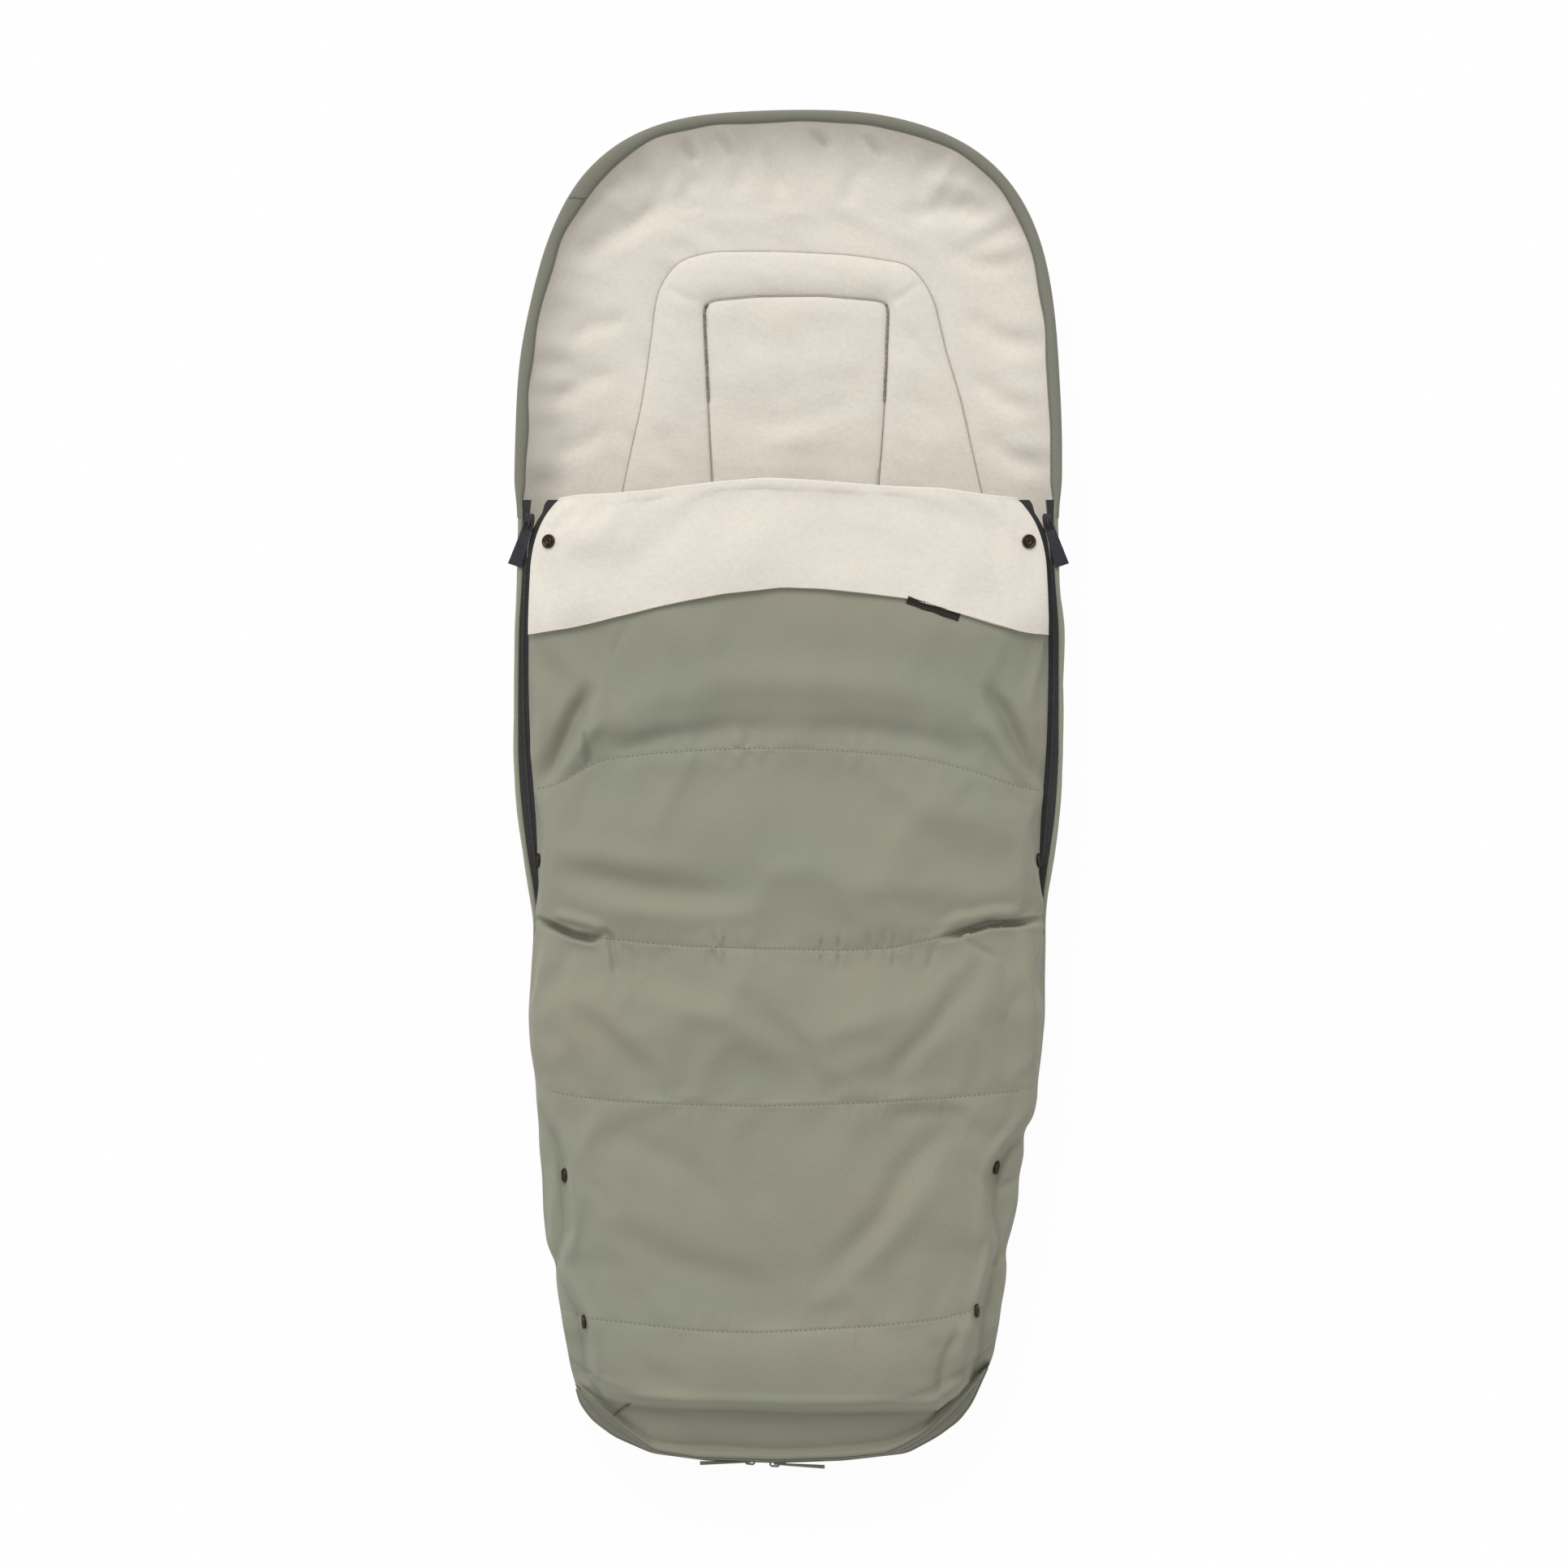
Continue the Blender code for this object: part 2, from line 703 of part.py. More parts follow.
def make_cuff(panel, cuff):
    """Three layers laid over the cover's first channel, each a height above its face."""
    rows = [row for row in panel.rows[:channel_steps + 1]]
    lift = cuff_lift
    turns = [math.radians(90) * (2 * k / across_steps - 1) for k in range(across_steps + 1)]
    turns[0], turns[-1] = -cuff_end, cuff_end
    places = [row[0] for row in rows if row[0] > cuff_side_y] + [cuff_side_y]
    shares = [(mouth_y - place) / (mouth_y - cuff_side_y) for place in places]
    shares += [(first + second) / 2 for first, second in zip(shares, shares[1:])]
    shares.sort()

    def on_cover(turn, share, height):
        across = math.copysign(abs(math.sin(turn)) ** (2 / arch_power), turn)
        lower = blend(cuff_centre_y, cuff_side_y, abs(across) ** 1.5)
        y = blend(mouth_y, lower, share)
        (crown, half), base = cover_section(rows, y, across), panel.base
        rise = max(math.cos(turn), 0.0) ** (2 / arch_power)
        return Vector((half * across, y, base + (crown - base) * rise + height))

    def swell(turn, share):
        middle = 1 - (abs(math.sin(turn)) ** 6)
        return blend(cuff_fill_edge, cuff_fill_thick, middle * math.sin(math.pi * blend(0.25, 0.75, share)))

    def layer(name, low, high, finish_name):
        rings = []
        for share in shares:
            top = [on_cover(turn, share, high(turn, share)) for turn in turns]
            under = [on_cover(turn, share, low(turn, share)) for turn in reversed(turns)]
            rings.append(top + under)
        return loft(name, rings, finish_name, cuff)

    fill_low = lift + cuff_face_thick + layer_gap
    layer("cuff_face", lambda a, s: lift, lambda a, s: lift + cuff_face_thick, "sage")
    layer("cuff_fill", lambda a, s: fill_low, lambda a, s: fill_low + swell(a, s), "wadding")
    layer("cuff_fleece", lambda a, s: fill_low + swell(a, s) + layer_gap,
          lambda a, s: fill_low + swell(a, s) + layer_gap + cuff_fleece_thick, "fleece")

    def top(x, y):
        """Height of the fleece over a place, and its place along the cuff."""
        across = x / upper_half(y)
        turn = math.copysign(math.asin(min(abs(across) ** (arch_power / 2), 1.0)), x)
        lower = blend(cuff_centre_y, cuff_side_y, abs(across) ** 1.5)
        share = (mouth_y - y) / (mouth_y - lower)
        height = fill_low + swell(turn, share) + layer_gap + cuff_fleece_thick
        return on_cover(turn, share, height).z

    return top


def cover_section(rows, y, across):
    """Crown height and half width of the first channel where its bowed rows cross a place."""
    places = [row[0] + row[3] * (1 - abs(across) ** bow_power) for row in rows]
    for k in range(len(rows) - 1):
        if places[k] >= y >= places[k + 1]:
            share = (places[k] - y) / (places[k] - places[k + 1])
            crown = blend(rows[k][1], rows[k + 1][1], share)
            return crown, blend(upper_half(places[k]), upper_half(places[k + 1]), share)
    return rows[0][1], upper_half(places[0])


def make_tag(cuff, top):
    """A bare woven strip sewn along the cuff's lower edge."""
    across = tag_x / upper_half(cuff_side_y)
    middle_y = blend(cuff_centre_y, cuff_side_y, across ** 1.5) + tag_above_edge
    steps = 4
    rings = []
    for k in range(steps + 1):
        along = tag_length * (k / steps - 0.5)
        ring = []
        for side, lift in ((-0.5, 0.0), (0.5, 0.0), (0.5, 1.0), (-0.5, 1.0)):
            offset = Matrix.Rotation(tag_turn, 3, "Z") @ Vector((along, tag_width * side, 0.0))
            x, y = tag_x + offset.x, middle_y + offset.y
            ring.append((x, y, top(x, y) + layer_gap + tag_thick * lift))
        rings.append(ring)
    return loft("tag", rings, "tag", cuff)


def frame_at(origin, along, out):
    """Axes along a zip, across it and out of its face, at a place."""
    along = along.normalized()
    out = (out - along * out.dot(along)).normalized()
    across = out.cross(along)
    turned = Matrix((along, across, out)).transposed().to_4x4()
    turned.translation = origin
    return turned


def placed(frame, rings):
    return [[frame @ Vector(point) for point in ring] for ring in rings]


def seat(height_at, x, y):
    """A frame just above a surface, turned to its slope over a cap's width."""
    probe = snap_radius / 2
    slope_x = (height_at(x + probe, y) - height_at(x - probe, y)) / snap_radius
    slope_y = (height_at(x, y + probe) - height_at(x, y - probe)) / snap_radius
    normal = Vector((-slope_x, -slope_y, 1.0))
    turn = Vector((0.0, 0.0, 1.0)).rotation_difference(normal).to_matrix().to_4x4()
    raised = Matrix.Translation((0.0, 0.0, snap_lift))
    return Matrix.Translation((x, y, height_at(x, y))) @ turn @ raised


def make_snap(name, frame, carrier):
    """A domed cap with a rolled rim and a dimple, seated just above the cloth."""
    rows = (
        (0.30, 0.0), (0.94, 0.0), (1.0, 0.25), (1.0, 0.55), (0.92, 0.85), (0.80, 0.92),
        (0.72, 0.80), (0.58, 1.0),
    )
    profile = [(snap_radius * r, snap_height * z) for r, z in rows]
    profile += [(snap_dimple_radius, snap_height), (snap_dimple_radius / 2, snap_height - snap_dimple)]
    rings = []
    for radius, z in profile:
        ring = []
        for k in range(cap_sides):
            turn = math.radians(360) * k / cap_sides
            ring.append(frame @ Vector((radius * math.cos(turn), radius * math.sin(turn), z)))
        rings.append(ring)
    return loft(name, rings, "bronze", carrier)


def make_slider(name, frame, post_side, carrier, finish_name):
    """A top and a bottom plate on a post that runs beside the shell's coil, and the bail that stands on them."""
    tape_under = -tape_thick / 2
    plate_low = tape_thick / 2 + running_gap
    plate_top = plate_low + slider_plate
    foot_top = tape_under - gap - coil_thick - running_gap
    foot_low = foot_top - slider_plate
    lip_top = tape_under - running_gap
    near = tape_half_gap + running_gap
    far = near + slider_post
    nose = slider_length / 2
    stations = ((-1.0, 0.72), (-0.85, 0.84), (0.1, 1.0), (0.75, 1.0), (1.0, 0.72))
    rings = []
    for place, share in stations:
        half = slider_half * share
        section = [
            (-half, plate_low), (-half, plate_top), (half, plate_top), (half, plate_low),
            (far, plate_low), (far, foot_top), (half, foot_top), (half, foot_low),
            (-half, foot_low), (-half, lip_top), (-half + slider_lip / 2, lip_top),
            (-half + slider_lip / 2, foot_top), (near, foot_top), (near, plate_low),
        ]
        rings.append([(nose * place, post_side * b, z) for b, z in section])
    loft(name, placed(frame, rings), finish_name, carrier)
    bail_low = plate_top + gap
    bail_top = plate_top + bail_height
    reach = bail_length / 2
    hoop = (
        (-reach, bail_low), (-reach, bail_top - bail_wall), (-reach + bail_wall, bail_top),
        (reach - bail_wall, bail_top), (reach, bail_top - bail_wall), (reach, bail_low),
        (reach - bail_wall, bail_low), (reach - bail_wall, bail_top - bail_wall),
        (-reach + bail_wall, bail_top - bail_wall), (-reach + bail_wall, bail_low),
    )
    rings = [[(a, b, z) for a, z in hoop] for b in (-bail_width / 2, bail_width / 2)]
    loft(name.replace("slider", "bail"), placed(frame, rings), finish_name, carrier)


def bar_height():
    """Height of the pull's bar over the tape's middle."""
    plate_top = tape_thick / 2 + running_gap + slider_plate
    return plate_top + gap + (bail_height - bail_wall) / 2


def make_pull(name, frame, sizes, arm_gap, carrier, finish_name):
    """A bar through the bail, an arm on each side of it and a tapered tab, along the frame's first axis."""
    length, width, thick = sizes
    inner = bail_width / 2 + arm_gap
    outer = inner + pull_arm
    half = thick / 2
    corner = width / 4
    neck = max(width / 2, outer)
    right = (
        (-pull_bar, inner), (-pull_bar, outer), (pull_neck, outer), (pull_neck + outer, neck),
        (length - corner, neck), (length, neck - corner),
    )
    loop = [(pull_neck, inner)] + list(right)
    loop += [(a, -b) for a, b in loop[::-1]]
    rings = [[(a, b, z) for a, b in loop] for z in (-half, half)]
    tab = loft(name, placed(frame, rings), finish_name, carrier)
    steps = 8
    rings = []
    for across in (-outer + pull_arm / 2, outer - pull_arm / 2):
        turns = [math.radians(360) * (k + 0.5) / steps for k in range(steps)]
        rings.append([(pull_bar * math.cos(t) * 0.9, across, pull_bar * math.sin(t) * 0.9) for t in turns])
    bar = loft(name + "_bar", placed(frame, rings), finish_name, carrier)
    boolean(tab, bar, "UNION", "MANIFOLD")


def make_side_slider(side, word):
    """The slider near the mouth and its pull, which hangs down and out."""
    x = side * zip_x(slider_rest_y)
    centre = Vector((x, slider_rest_y, tape_z + tape_thick / 2))
    hub = Vector((side * (zip_half - zip_radius), zip_middle_y, centre.z))
    along = Vector((0.0, 0.0, 1.0)).cross(centre - hub) * side
    frame = frame_at(centre, along, Vector((0.0, 0.0, 1.0)))
    slider_empty = pivot("slider_axis_" + word, hub)
    post_side = side
    make_slider("zip_slider_" + word, frame, post_side, slider_empty, "slider_metal")
    bar = centre + Vector((0.0, 0.0, bar_height()))
    pull_empty = pivot("pull_axis_" + word, bar, slider_empty)
    turn = side_pull_turn
    reach = Vector((side * math.sin(turn), -math.cos(turn), -math.tan(side_pull_dip)))
    pull_frame = frame_at(bar, reach, Vector((0.0, 0.0, 1.0)))
    sizes = (side_pull_length, side_pull_width, side_pull_thick)
    make_pull("zip_pull_" + word, pull_frame, sizes, side_pull_gap, pull_empty, "slider_metal")


def foot_place(turn, radius, z):
    """A place on the foot zip's band, by its angle from the middle."""
    return foot_zip_centre + Vector((radius * math.sin(turn), -radius * math.cos(turn), z))


def make_foot_zip(flap):
    """Upright tapes that meet edge to edge round the foot, with the coils on their inner face."""
    inner = foot_zip_radius - tape_thick / 2
    outer = foot_zip_radius + tape_thick / 2
    coil_out = inner - gap
    coil_in = coil_out - coil_thick
    middle = foot_zip_height

    def band(name, start, end, low, high, radius_in, radius_out, finish_name, carrier):
        steps = max(round(foot_zip_steps * abs(end - start) / (2 * foot_zip_end)), 2)
        rings = []
        for k in range(steps + 1):
            turn = blend(start, end, k / steps)
            corners = ((radius_in, low), (radius_out, low), (radius_out, high), (radius_in, high))
            rings.append([foot_place(turn, radius, z) for radius, z in corners])
        return loft(name, rings, finish_name, carrier)

    band("foot_tape_shell", -foot_zip_end, foot_zip_end, middle - foot_zip_band, middle - tape_half_gap,
         inner, outer, "sage_trim", None)
    band("foot_coil_shell", -foot_zip_end, foot_zip_end, middle - tape_half_gap - coil_width,
         middle - tape_half_gap, coil_in, coil_out, "sage_trim", None)
    reach = (foot_slider_pitch + slider_length) / 2 + foot_notch
    notch = [math.asin((foot_sliders_x + side * reach) / foot_zip_radius) for side in (-1, 1)]
    for word, start, end in (("left", -foot_zip_end, notch[0]), ("right", notch[1], foot_zip_end)):
        band("foot_tape_flap_" + word, start, end, middle + tape_half_gap, middle + foot_zip_band,
             inner, outer, "sage_trim", flap)
        band("foot_coil_flap_" + word, start, end, middle + tape_half_gap,
             middle + tape_half_gap + coil_width, coil_in, coil_out, "sage_trim", flap)


def make_foot_slider(side, word):
    """One of the two foot sliders, back to back, with its pull lying along the zip."""
    x = foot_sliders_x + side * foot_slider_pitch / 2
    turn = math.asin(x / foot_zip_radius)
    centre = foot_place(turn, foot_zip_radius, foot_zip_height)
    out = foot_place(turn, foot_zip_radius * 2, foot_zip_height) - centre
    along = Vector((-side * math.cos(turn), -side * math.sin(turn), 0.0))
    frame = frame_at(centre, along, out)
    across = frame.to_3x3() @ Vector((0.0, 1.0, 0.0))
    hub = foot_zip_centre + Vector((0.0, 0.0, foot_zip_height))
    slider_empty = pivot("foot_slider_axis_" + word, hub)
    make_slider("foot_slider_" + word, frame, 1 if across.z > 0 else -1, slider_empty, "foot_metal")
    bar = centre + out.normalized() * bar_height()
    pull_empty = pivot("foot_pull_axis_" + word, bar, slider_empty)
    pull_frame = frame_at(bar, -along, out)
    sizes = (foot_pull_length, foot_pull_width, foot_pull_thick)
    make_pull("foot_pull_" + word, pull_frame, sizes, foot_pull_gap, pull_empty, "foot_metal")


def surface_height(panel, x, y):
    """Height of a panel's outer face over a place."""
    half = panel.half(y)
    across = min(abs(x) / half, 1.0)
    crown = None
    for first, second in zip(panel.rows, panel.rows[1:]):
        start = first[0] + first[3] * (1 - across ** bow_power)
        end = second[0] + second[3] * (1 - across ** bow_power)
        if start >= y >= end:
            crown = blend(first[1], second[1], (start - y) / (start - end))
    rise = (1 - across ** arch_power) ** (1 / arch_power)
    return panel.base + (crown - panel.base) * rise


def make_snaps(upper, lower, toe, cover, cuff, flap, cuff_top):
    """Eight snap caps, in pairs down the sides."""
    for side, word in ((-1, "left"), (1, "right")):
        x = upper_half(cuff_snap_y) - cuff_snap_inset
        make_snap("cuff_snap_" + word, seat(cuff_top, side * x, cuff_snap_y), cuff)
        for name, inset_by, y, panel, carrier in (
            ("side_snap_", side_snap_inset, side_snap_y, upper, cover),
            ("lower_snap_", lower_snap_inset, lower_snap_y, lower, None),
            ("toe_snap_", toe_snap_inset, seam_d_y - toe_snap_below, toe, flap),
        ):
            def height_at(x, y):
                return surface_height(panel, x, y)

            x = panel.half(y) - inset_by
            make_snap(name + word, seat(height_at, side * x, y), carrier)


def build():
    clear_scene()
    tubs = make_tubs()
    pads = make_pads()
    cut_slots(tubs, pads)
    make_binding()
    cover = pivot("cover_axis", Vector((0.0, seam_b_y, seam_b_crown + fold_lift)))
    cuff = pivot("cuff_axis", Vector((0.0, mouth_y, cuff_fold_z)), cover)
    flap = pivot("toe_flap_axis", Vector((0.0, seam_d_y, seam_d_crown + fold_lift)))
    upper = upper_panel()
    lower = lower_panel()
    toe = ToePanel()
    upper.dress("cover", (1, 2), cover)
    lower.dress("lower_cover", (3, 4), None)
    toe.dress("toe_flap", (5,), flap)
    cuff_top = make_cuff(upper, cuff)
    make_tag(cuff, cuff_top)
    for side, word in ((-1, "left"), (1, "right")):
        make_side_zip(side, word, cover)
        make_side_slider(side, word)
        make_foot_slider(side, word)
    make_foot_zip(flap)
    make_snaps(upper, lower, toe, cover, cuff, flap, cuff_top)


build()
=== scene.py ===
"""Stroller footmuff: quilted sage cover, cream fleece, side and foot zips, snaps, seen from above on a white floor."""
import math

import bmesh
import bpy
import numpy as np
from bpy.props import FloatProperty, FloatVectorProperty, PointerProperty
from mathutils import Matrix, Vector
from mathutils.bvhtree import BVHTree


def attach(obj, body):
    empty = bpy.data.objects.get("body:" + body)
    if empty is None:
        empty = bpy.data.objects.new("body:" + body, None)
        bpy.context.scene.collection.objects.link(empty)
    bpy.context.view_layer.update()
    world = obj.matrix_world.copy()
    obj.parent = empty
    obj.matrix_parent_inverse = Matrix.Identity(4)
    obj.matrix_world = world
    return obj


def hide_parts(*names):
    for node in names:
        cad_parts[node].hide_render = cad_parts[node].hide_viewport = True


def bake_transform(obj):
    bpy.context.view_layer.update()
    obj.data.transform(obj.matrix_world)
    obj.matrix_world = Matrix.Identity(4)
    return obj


bl_info = {
    "name": "Stroller footmuff",
    "version": (1, 0, 0),
    "blender": (4, 5, 0),
    "location": "View3D > Sidebar > Footmuff",
    "description": "Makes a quilted stroller footmuff with its fleece, zips, snaps and studio",
    "category": "Object",
}

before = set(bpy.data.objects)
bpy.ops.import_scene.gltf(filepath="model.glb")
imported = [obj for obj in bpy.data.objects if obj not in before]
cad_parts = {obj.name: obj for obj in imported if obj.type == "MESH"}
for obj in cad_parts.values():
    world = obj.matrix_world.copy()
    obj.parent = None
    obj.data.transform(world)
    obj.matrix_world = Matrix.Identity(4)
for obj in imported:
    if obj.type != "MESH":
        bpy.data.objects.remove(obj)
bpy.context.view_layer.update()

# The photograph's scale: one pixel is 0.6 mm on the footmuff
PIXEL = 0.0006
MIDDLE = (971.5, 966.0)


def place(points):
    """Metres from pixels of the photograph."""
    points = np.asarray(points, float)
    return np.stack(((points[..., 0] - MIDDLE[0]) * PIXEL, (MIDDLE[1] - points[..., 1]) * PIXEL), -1)


# Outline: height in the picture, left edge, right edge
OUTLINE = (
    (154, 805, 1140), (161, 788, 1160), (170, 769, 1180), (180, 754, 1198), (190, 742, 1212), (200, 731, 1224),
    (210, 721, 1234), (220, 713, 1242), (230, 706, 1250), (240, 700, 1257), (250, 695, 1263), (270, 686, 1272),
    (290, 677, 1280), (310, 670, 1286), (350, 660, 1294), (390, 651, 1299), (430, 643, 1302),
    (470, 639, 1304), (530, 637, 1307), (590, 635, 1307), (650, 638, 1304), (710, 637, 1306), (770, 633, 1311),
    (850, 632, 1311), (930, 632, 1311), (970, 634, 1309), (1010, 638, 1306), (1050, 643, 1300), (1090, 650, 1294),
    (1130, 656, 1288), (1170, 656, 1288), (1210, 654, 1288), (1250, 650, 1289), (1290, 652, 1285),
    (1330, 659, 1280), (1354, 660, 1279), (1370, 661, 1276), (1384, 663, 1270), (1394, 663, 1261),
    (1402, 663, 1261), (1410, 663, 1263), (1430, 665, 1262), (1444, 667, 1257), (1454, 667, 1256), (1474, 668, 1256),
    (1490, 668, 1254), (1528, 672, 1244), (1540, 676, 1239), (1550, 682, 1240), (1559, 688, 1241), (1568, 685, 1240),
    (1590, 687, 1237), (1608, 689, 1233), (1630, 692, 1232), (1670, 699, 1225), (1690, 703, 1216), (1710, 709, 1207),
    (1730, 716, 1196), (1750, 731, 1181), (1770, 758, 1155), (1790, 804, 1116),
)
TOP = ((825, 148), (860, 141), (900, 138), (940, 136), (972, 135), (1020, 135), (1060, 137), (1090, 141), (1120, 148))
BOTTOM = ((1100, 1795), (1040, 1800), (955, 1802), (870, 1800), (820, 1794))

# Sewn seams and fold lines
MOUTH = ((690, 612), (720, 607), (768, 606), (830, 597), (880, 590), (940, 586), (1010, 590), (1080, 594),
         (1160, 600), (1210, 606), (1255, 612))
CUFF_HEM = ((650, 783), (700, 775), (750, 764), (808, 750), (850, 741), (893, 733), (963, 725), (1011, 727),
            (1060, 732), (1117, 739), (1180, 757), (1225, 771), (1261, 780), (1294, 783))
SEAM_A = ((651, 973), (682, 968), (698, 960), (726, 944), (745, 936), (799, 929), (870, 924), (930, 922),
          (1000, 923), (1060, 927), (1120, 932), (1180, 945), (1220, 957), (1250, 968), (1292, 975))
SEAM_B = ((656, 1131), (680, 1140), (715, 1152), (750, 1156), (800, 1161), (850, 1165), (935, 1168), (1040, 1170),
          (1100, 1167), (1150, 1156), (1190, 1146), (1225, 1139), (1288, 1130))
SEAM_C = ((660, 1338), (700, 1348), (765, 1355), (850, 1359), (935, 1361), (1000, 1359), (1060, 1357),
          (1150, 1352), (1220, 1346), (1279, 1340))
SEAM_D = ((690, 1612), (726, 1622), (800, 1630), (870, 1637), (935, 1639), (1010, 1635), (1080, 1631),
          (1160, 1622), (1200, 1612), (1234, 1600))
FOOT_LINE = ((710, 1707), (726, 1722), (740, 1734), (754, 1747), (780, 1768), (808, 1788), (860, 1796),
             (955, 1799), (1040, 1796), (1091, 1791), (1115, 1780), (1138, 1766), (1173, 1731), (1205, 1700),
             (1219, 1681))
PAD_SEAM = ((748, 690), (765, 610), (778, 548), (789, 501), (796, 456), (801, 421), (808, 364), (815, 345),
            (836, 318), (878, 307), (960, 307), (1044, 311), (1119, 322), (1140, 345), (1152, 369), (1166, 430),
            (1176, 462), (1185, 492), (1209, 600), (1228, 680))
PANEL_SEAM = ((881, 690), (878, 591), (875, 540), (873, 501), (870, 440), (867, 383), (869, 373), (880, 368),
              (930, 363), (1011, 362), (1082, 368), (1094, 372), (1095, 384), (1093, 430), (1091, 478),
              (1087, 540), (1083, 591), (1078, 690))
MOUTH_LINE = tuple((x, y + 9) for x, y in MOUTH)
FOOT_EDGE = ((708, 1704), (710, 1711), (715, 1730), (730, 1750), (757, 1770), (803, 1790), (870, 1799), (955, 1802),
             (1040, 1799), (1118, 1790), (1155, 1770), (1182, 1750), (1197, 1730), (1206, 1710), (1214, 1692),
             (1220, 1679))

# The raised top panel: outside this line the cloth turns down into the gusset and the toe's slope
PANEL_EDGE = ((560, 1338), (655, 1340), (668, 1362), (686, 1401), (695, 1430), (697, 1460), (699, 1493), (700, 1517),
              (693, 1545), (689, 1560), (697, 1578), (706, 1594), (719, 1618), (725, 1647), (730, 1696), (747, 1720),
              (773, 1725), (836, 1728), (966, 1732), (1100, 1733), (1154, 1733), (1178, 1717), (1193, 1702),
              (1198, 1666), (1206, 1613), (1212, 1590), (1221, 1560), (1226, 1530), (1221, 1500), (1222, 1454),
              (1228, 1430), (1240, 1411), (1262, 1387), (1284, 1358), (1380, 1338))

# Folds as rows of points, width, depth (down is positive) and fade
SOFT_FOLDS = (
    (((706, 928), (738, 898), (800, 866), (900, 842), (1050, 844), (1150, 864), (1215, 896), (1252, 928)),
     0.020, -0.0034, 0.1),
    (((735, 938), (800, 913), (900, 900), (1050, 902), (1150, 914), (1215, 940)), 0.011, 0.0030, 0.15),
    (((656, 986), (670, 956), (686, 924), (706, 884), (734, 836)), 0.0088, 0.0088, 0.28),
    (((692, 958), (708, 930), (726, 904), (752, 880)), 0.0070, -0.0026),
    (((652, 955), (656, 915), (664, 870)), 0.0075, -0.0020, 0.35),
    (((1288, 986), (1274, 952), (1258, 918), (1238, 880), (1210, 836)), 0.0082, 0.0080, 0.28),
    (((1262, 962), (1240, 930), (1222, 903), (1195, 880)), 0.0075, -0.0022),
    (((1292, 950), (1288, 910), (1278, 865)), 0.0075, -0.0020, 0.35),
    (((719, 900), (723, 918), (726, 934), (727, 950)), 0.0030, 0.0030, 0.2),
    (((711, 912), (716, 930), (716, 950)), 0.0040, -0.0014),
    (((776, 760), (764, 788), (752, 815)), 0.0036, 0.0010),
    (((800, 760), (812, 790), (836, 830), (850, 868)), 0.010, 0.0012),
    (((1216, 776), (1228, 815), (1230, 868)), 0.010, 0.0014),
    (((668, 800), (690, 850), (698, 900)), 0.012, 0.0012),
    (((905, 740), (900, 790), (880, 830)), 0.012, 0.0009),
    (((1080, 745), (1095, 790), (1120, 830)), 0.014, 0.0009),
    (((664, 1074), (730, 1080), (800, 1095), (870, 1101), (935, 1099)), 0.014, 0.0034),
    (((668, 1030), (720, 1052), (800, 1062), (880, 1056)), 0.014, -0.0018),
    (((700, 1116), (800, 1126), (900, 1124), (960, 1120)), 0.012, -0.0018),
    (((1110, 1010), (1180, 1050), (1262, 1070)), 0.018, 0.0016),
    (((1120, 1080), (1190, 1105), (1262, 1110)), 0.016, -0.0012),
    (((650, 1128), (680, 1140), (708, 1152), (730, 1156), (752, 1150)), 0.0034, 0.0082, 0.30),
    (((676, 1124), (704, 1130), (732, 1138), (752, 1148)), 0.0050, -0.0030, 0.25),
    (((742, 1140), (752, 1154), (757, 1178), (760, 1205)), 0.0034, 0.0028, 0.25),
    (((768, 1160), (782, 1180), (790, 1208)), 0.0036, 0.0013),
    (((1150, 1158), (1180, 1150), (1218, 1138), (1258, 1137), (1296, 1132)), 0.0032, 0.0078, 0.32),
    (((1150, 1146), (1185, 1132), (1225, 1124), (1270, 1122)), 0.0055, -0.0024, 0.25),
    (((1150, 1158), (1148, 1178), (1140, 1200)), 0.0036, 0.0015),
    (((1176, 1150), (1200, 1166), (1235, 1184)), 0.0040, 0.0016),
    (((690, 1230), (740, 1270), (790, 1320), (812, 1350)), 0.012, 0.0022),
    (((716, 1196), (800, 1226), (900, 1256), (985, 1330)), 0.015, -0.0018),
    (((930, 1236), (985, 1290), (1005, 1345)), 0.010, 0.0020),
    (((1200, 1190), (1160, 1250), (1110, 1310), (1085, 1350)), 0.012, 0.0022),
    (((1260, 1200), (1246, 1260), (1246, 1325)), 0.010, 0.0022),
    (((682, 1180), (674, 1240), (690, 1305)), 0.010, 0.0020),
    (((1215, 1372), (1160, 1398), (1115, 1440), (1085, 1500), (1040, 1545), (985, 1592)), 0.013, 0.0032),
    (((1200, 1440), (1140, 1470), (1090, 1530), (1050, 1580)), 0.014, -0.0020),
    (((720, 1385), (780, 1405), (850, 1440), (900, 1500)), 0.014, 0.0022),
    (((740, 1500), (830, 1550), (920, 1575), (985, 1590)), 0.014, 0.0018),
    (((930, 1470), (960, 1520), (980, 1570)), 0.013, -0.0014),
    (((1080, 1376), (1120, 1372), (1200, 1368)), 0.009, 0.0012),
    (((720, 1448), (745, 1470), (760, 1500)), 0.006, 0.0010),
    (((1196, 1440), (1208, 1470), (1206, 1510)), 0.0035, -0.0010),
    (((672, 1430), (682, 1462), (686, 1500)), 0.0060, -0.0014),
    (((1254, 1400), (1240, 1452), (1236, 1500)), 0.0060, -0.0014),
    (((1256, 1452), (1240, 1460), (1226, 1462)), 0.0035, 0.0024),
    (((668, 1528), (680, 1545), (690, 1562)), 0.0040, 0.0022),
    (((1242, 1541), (1230, 1550), (1220, 1564)), 0.0040, 0.0026),
)
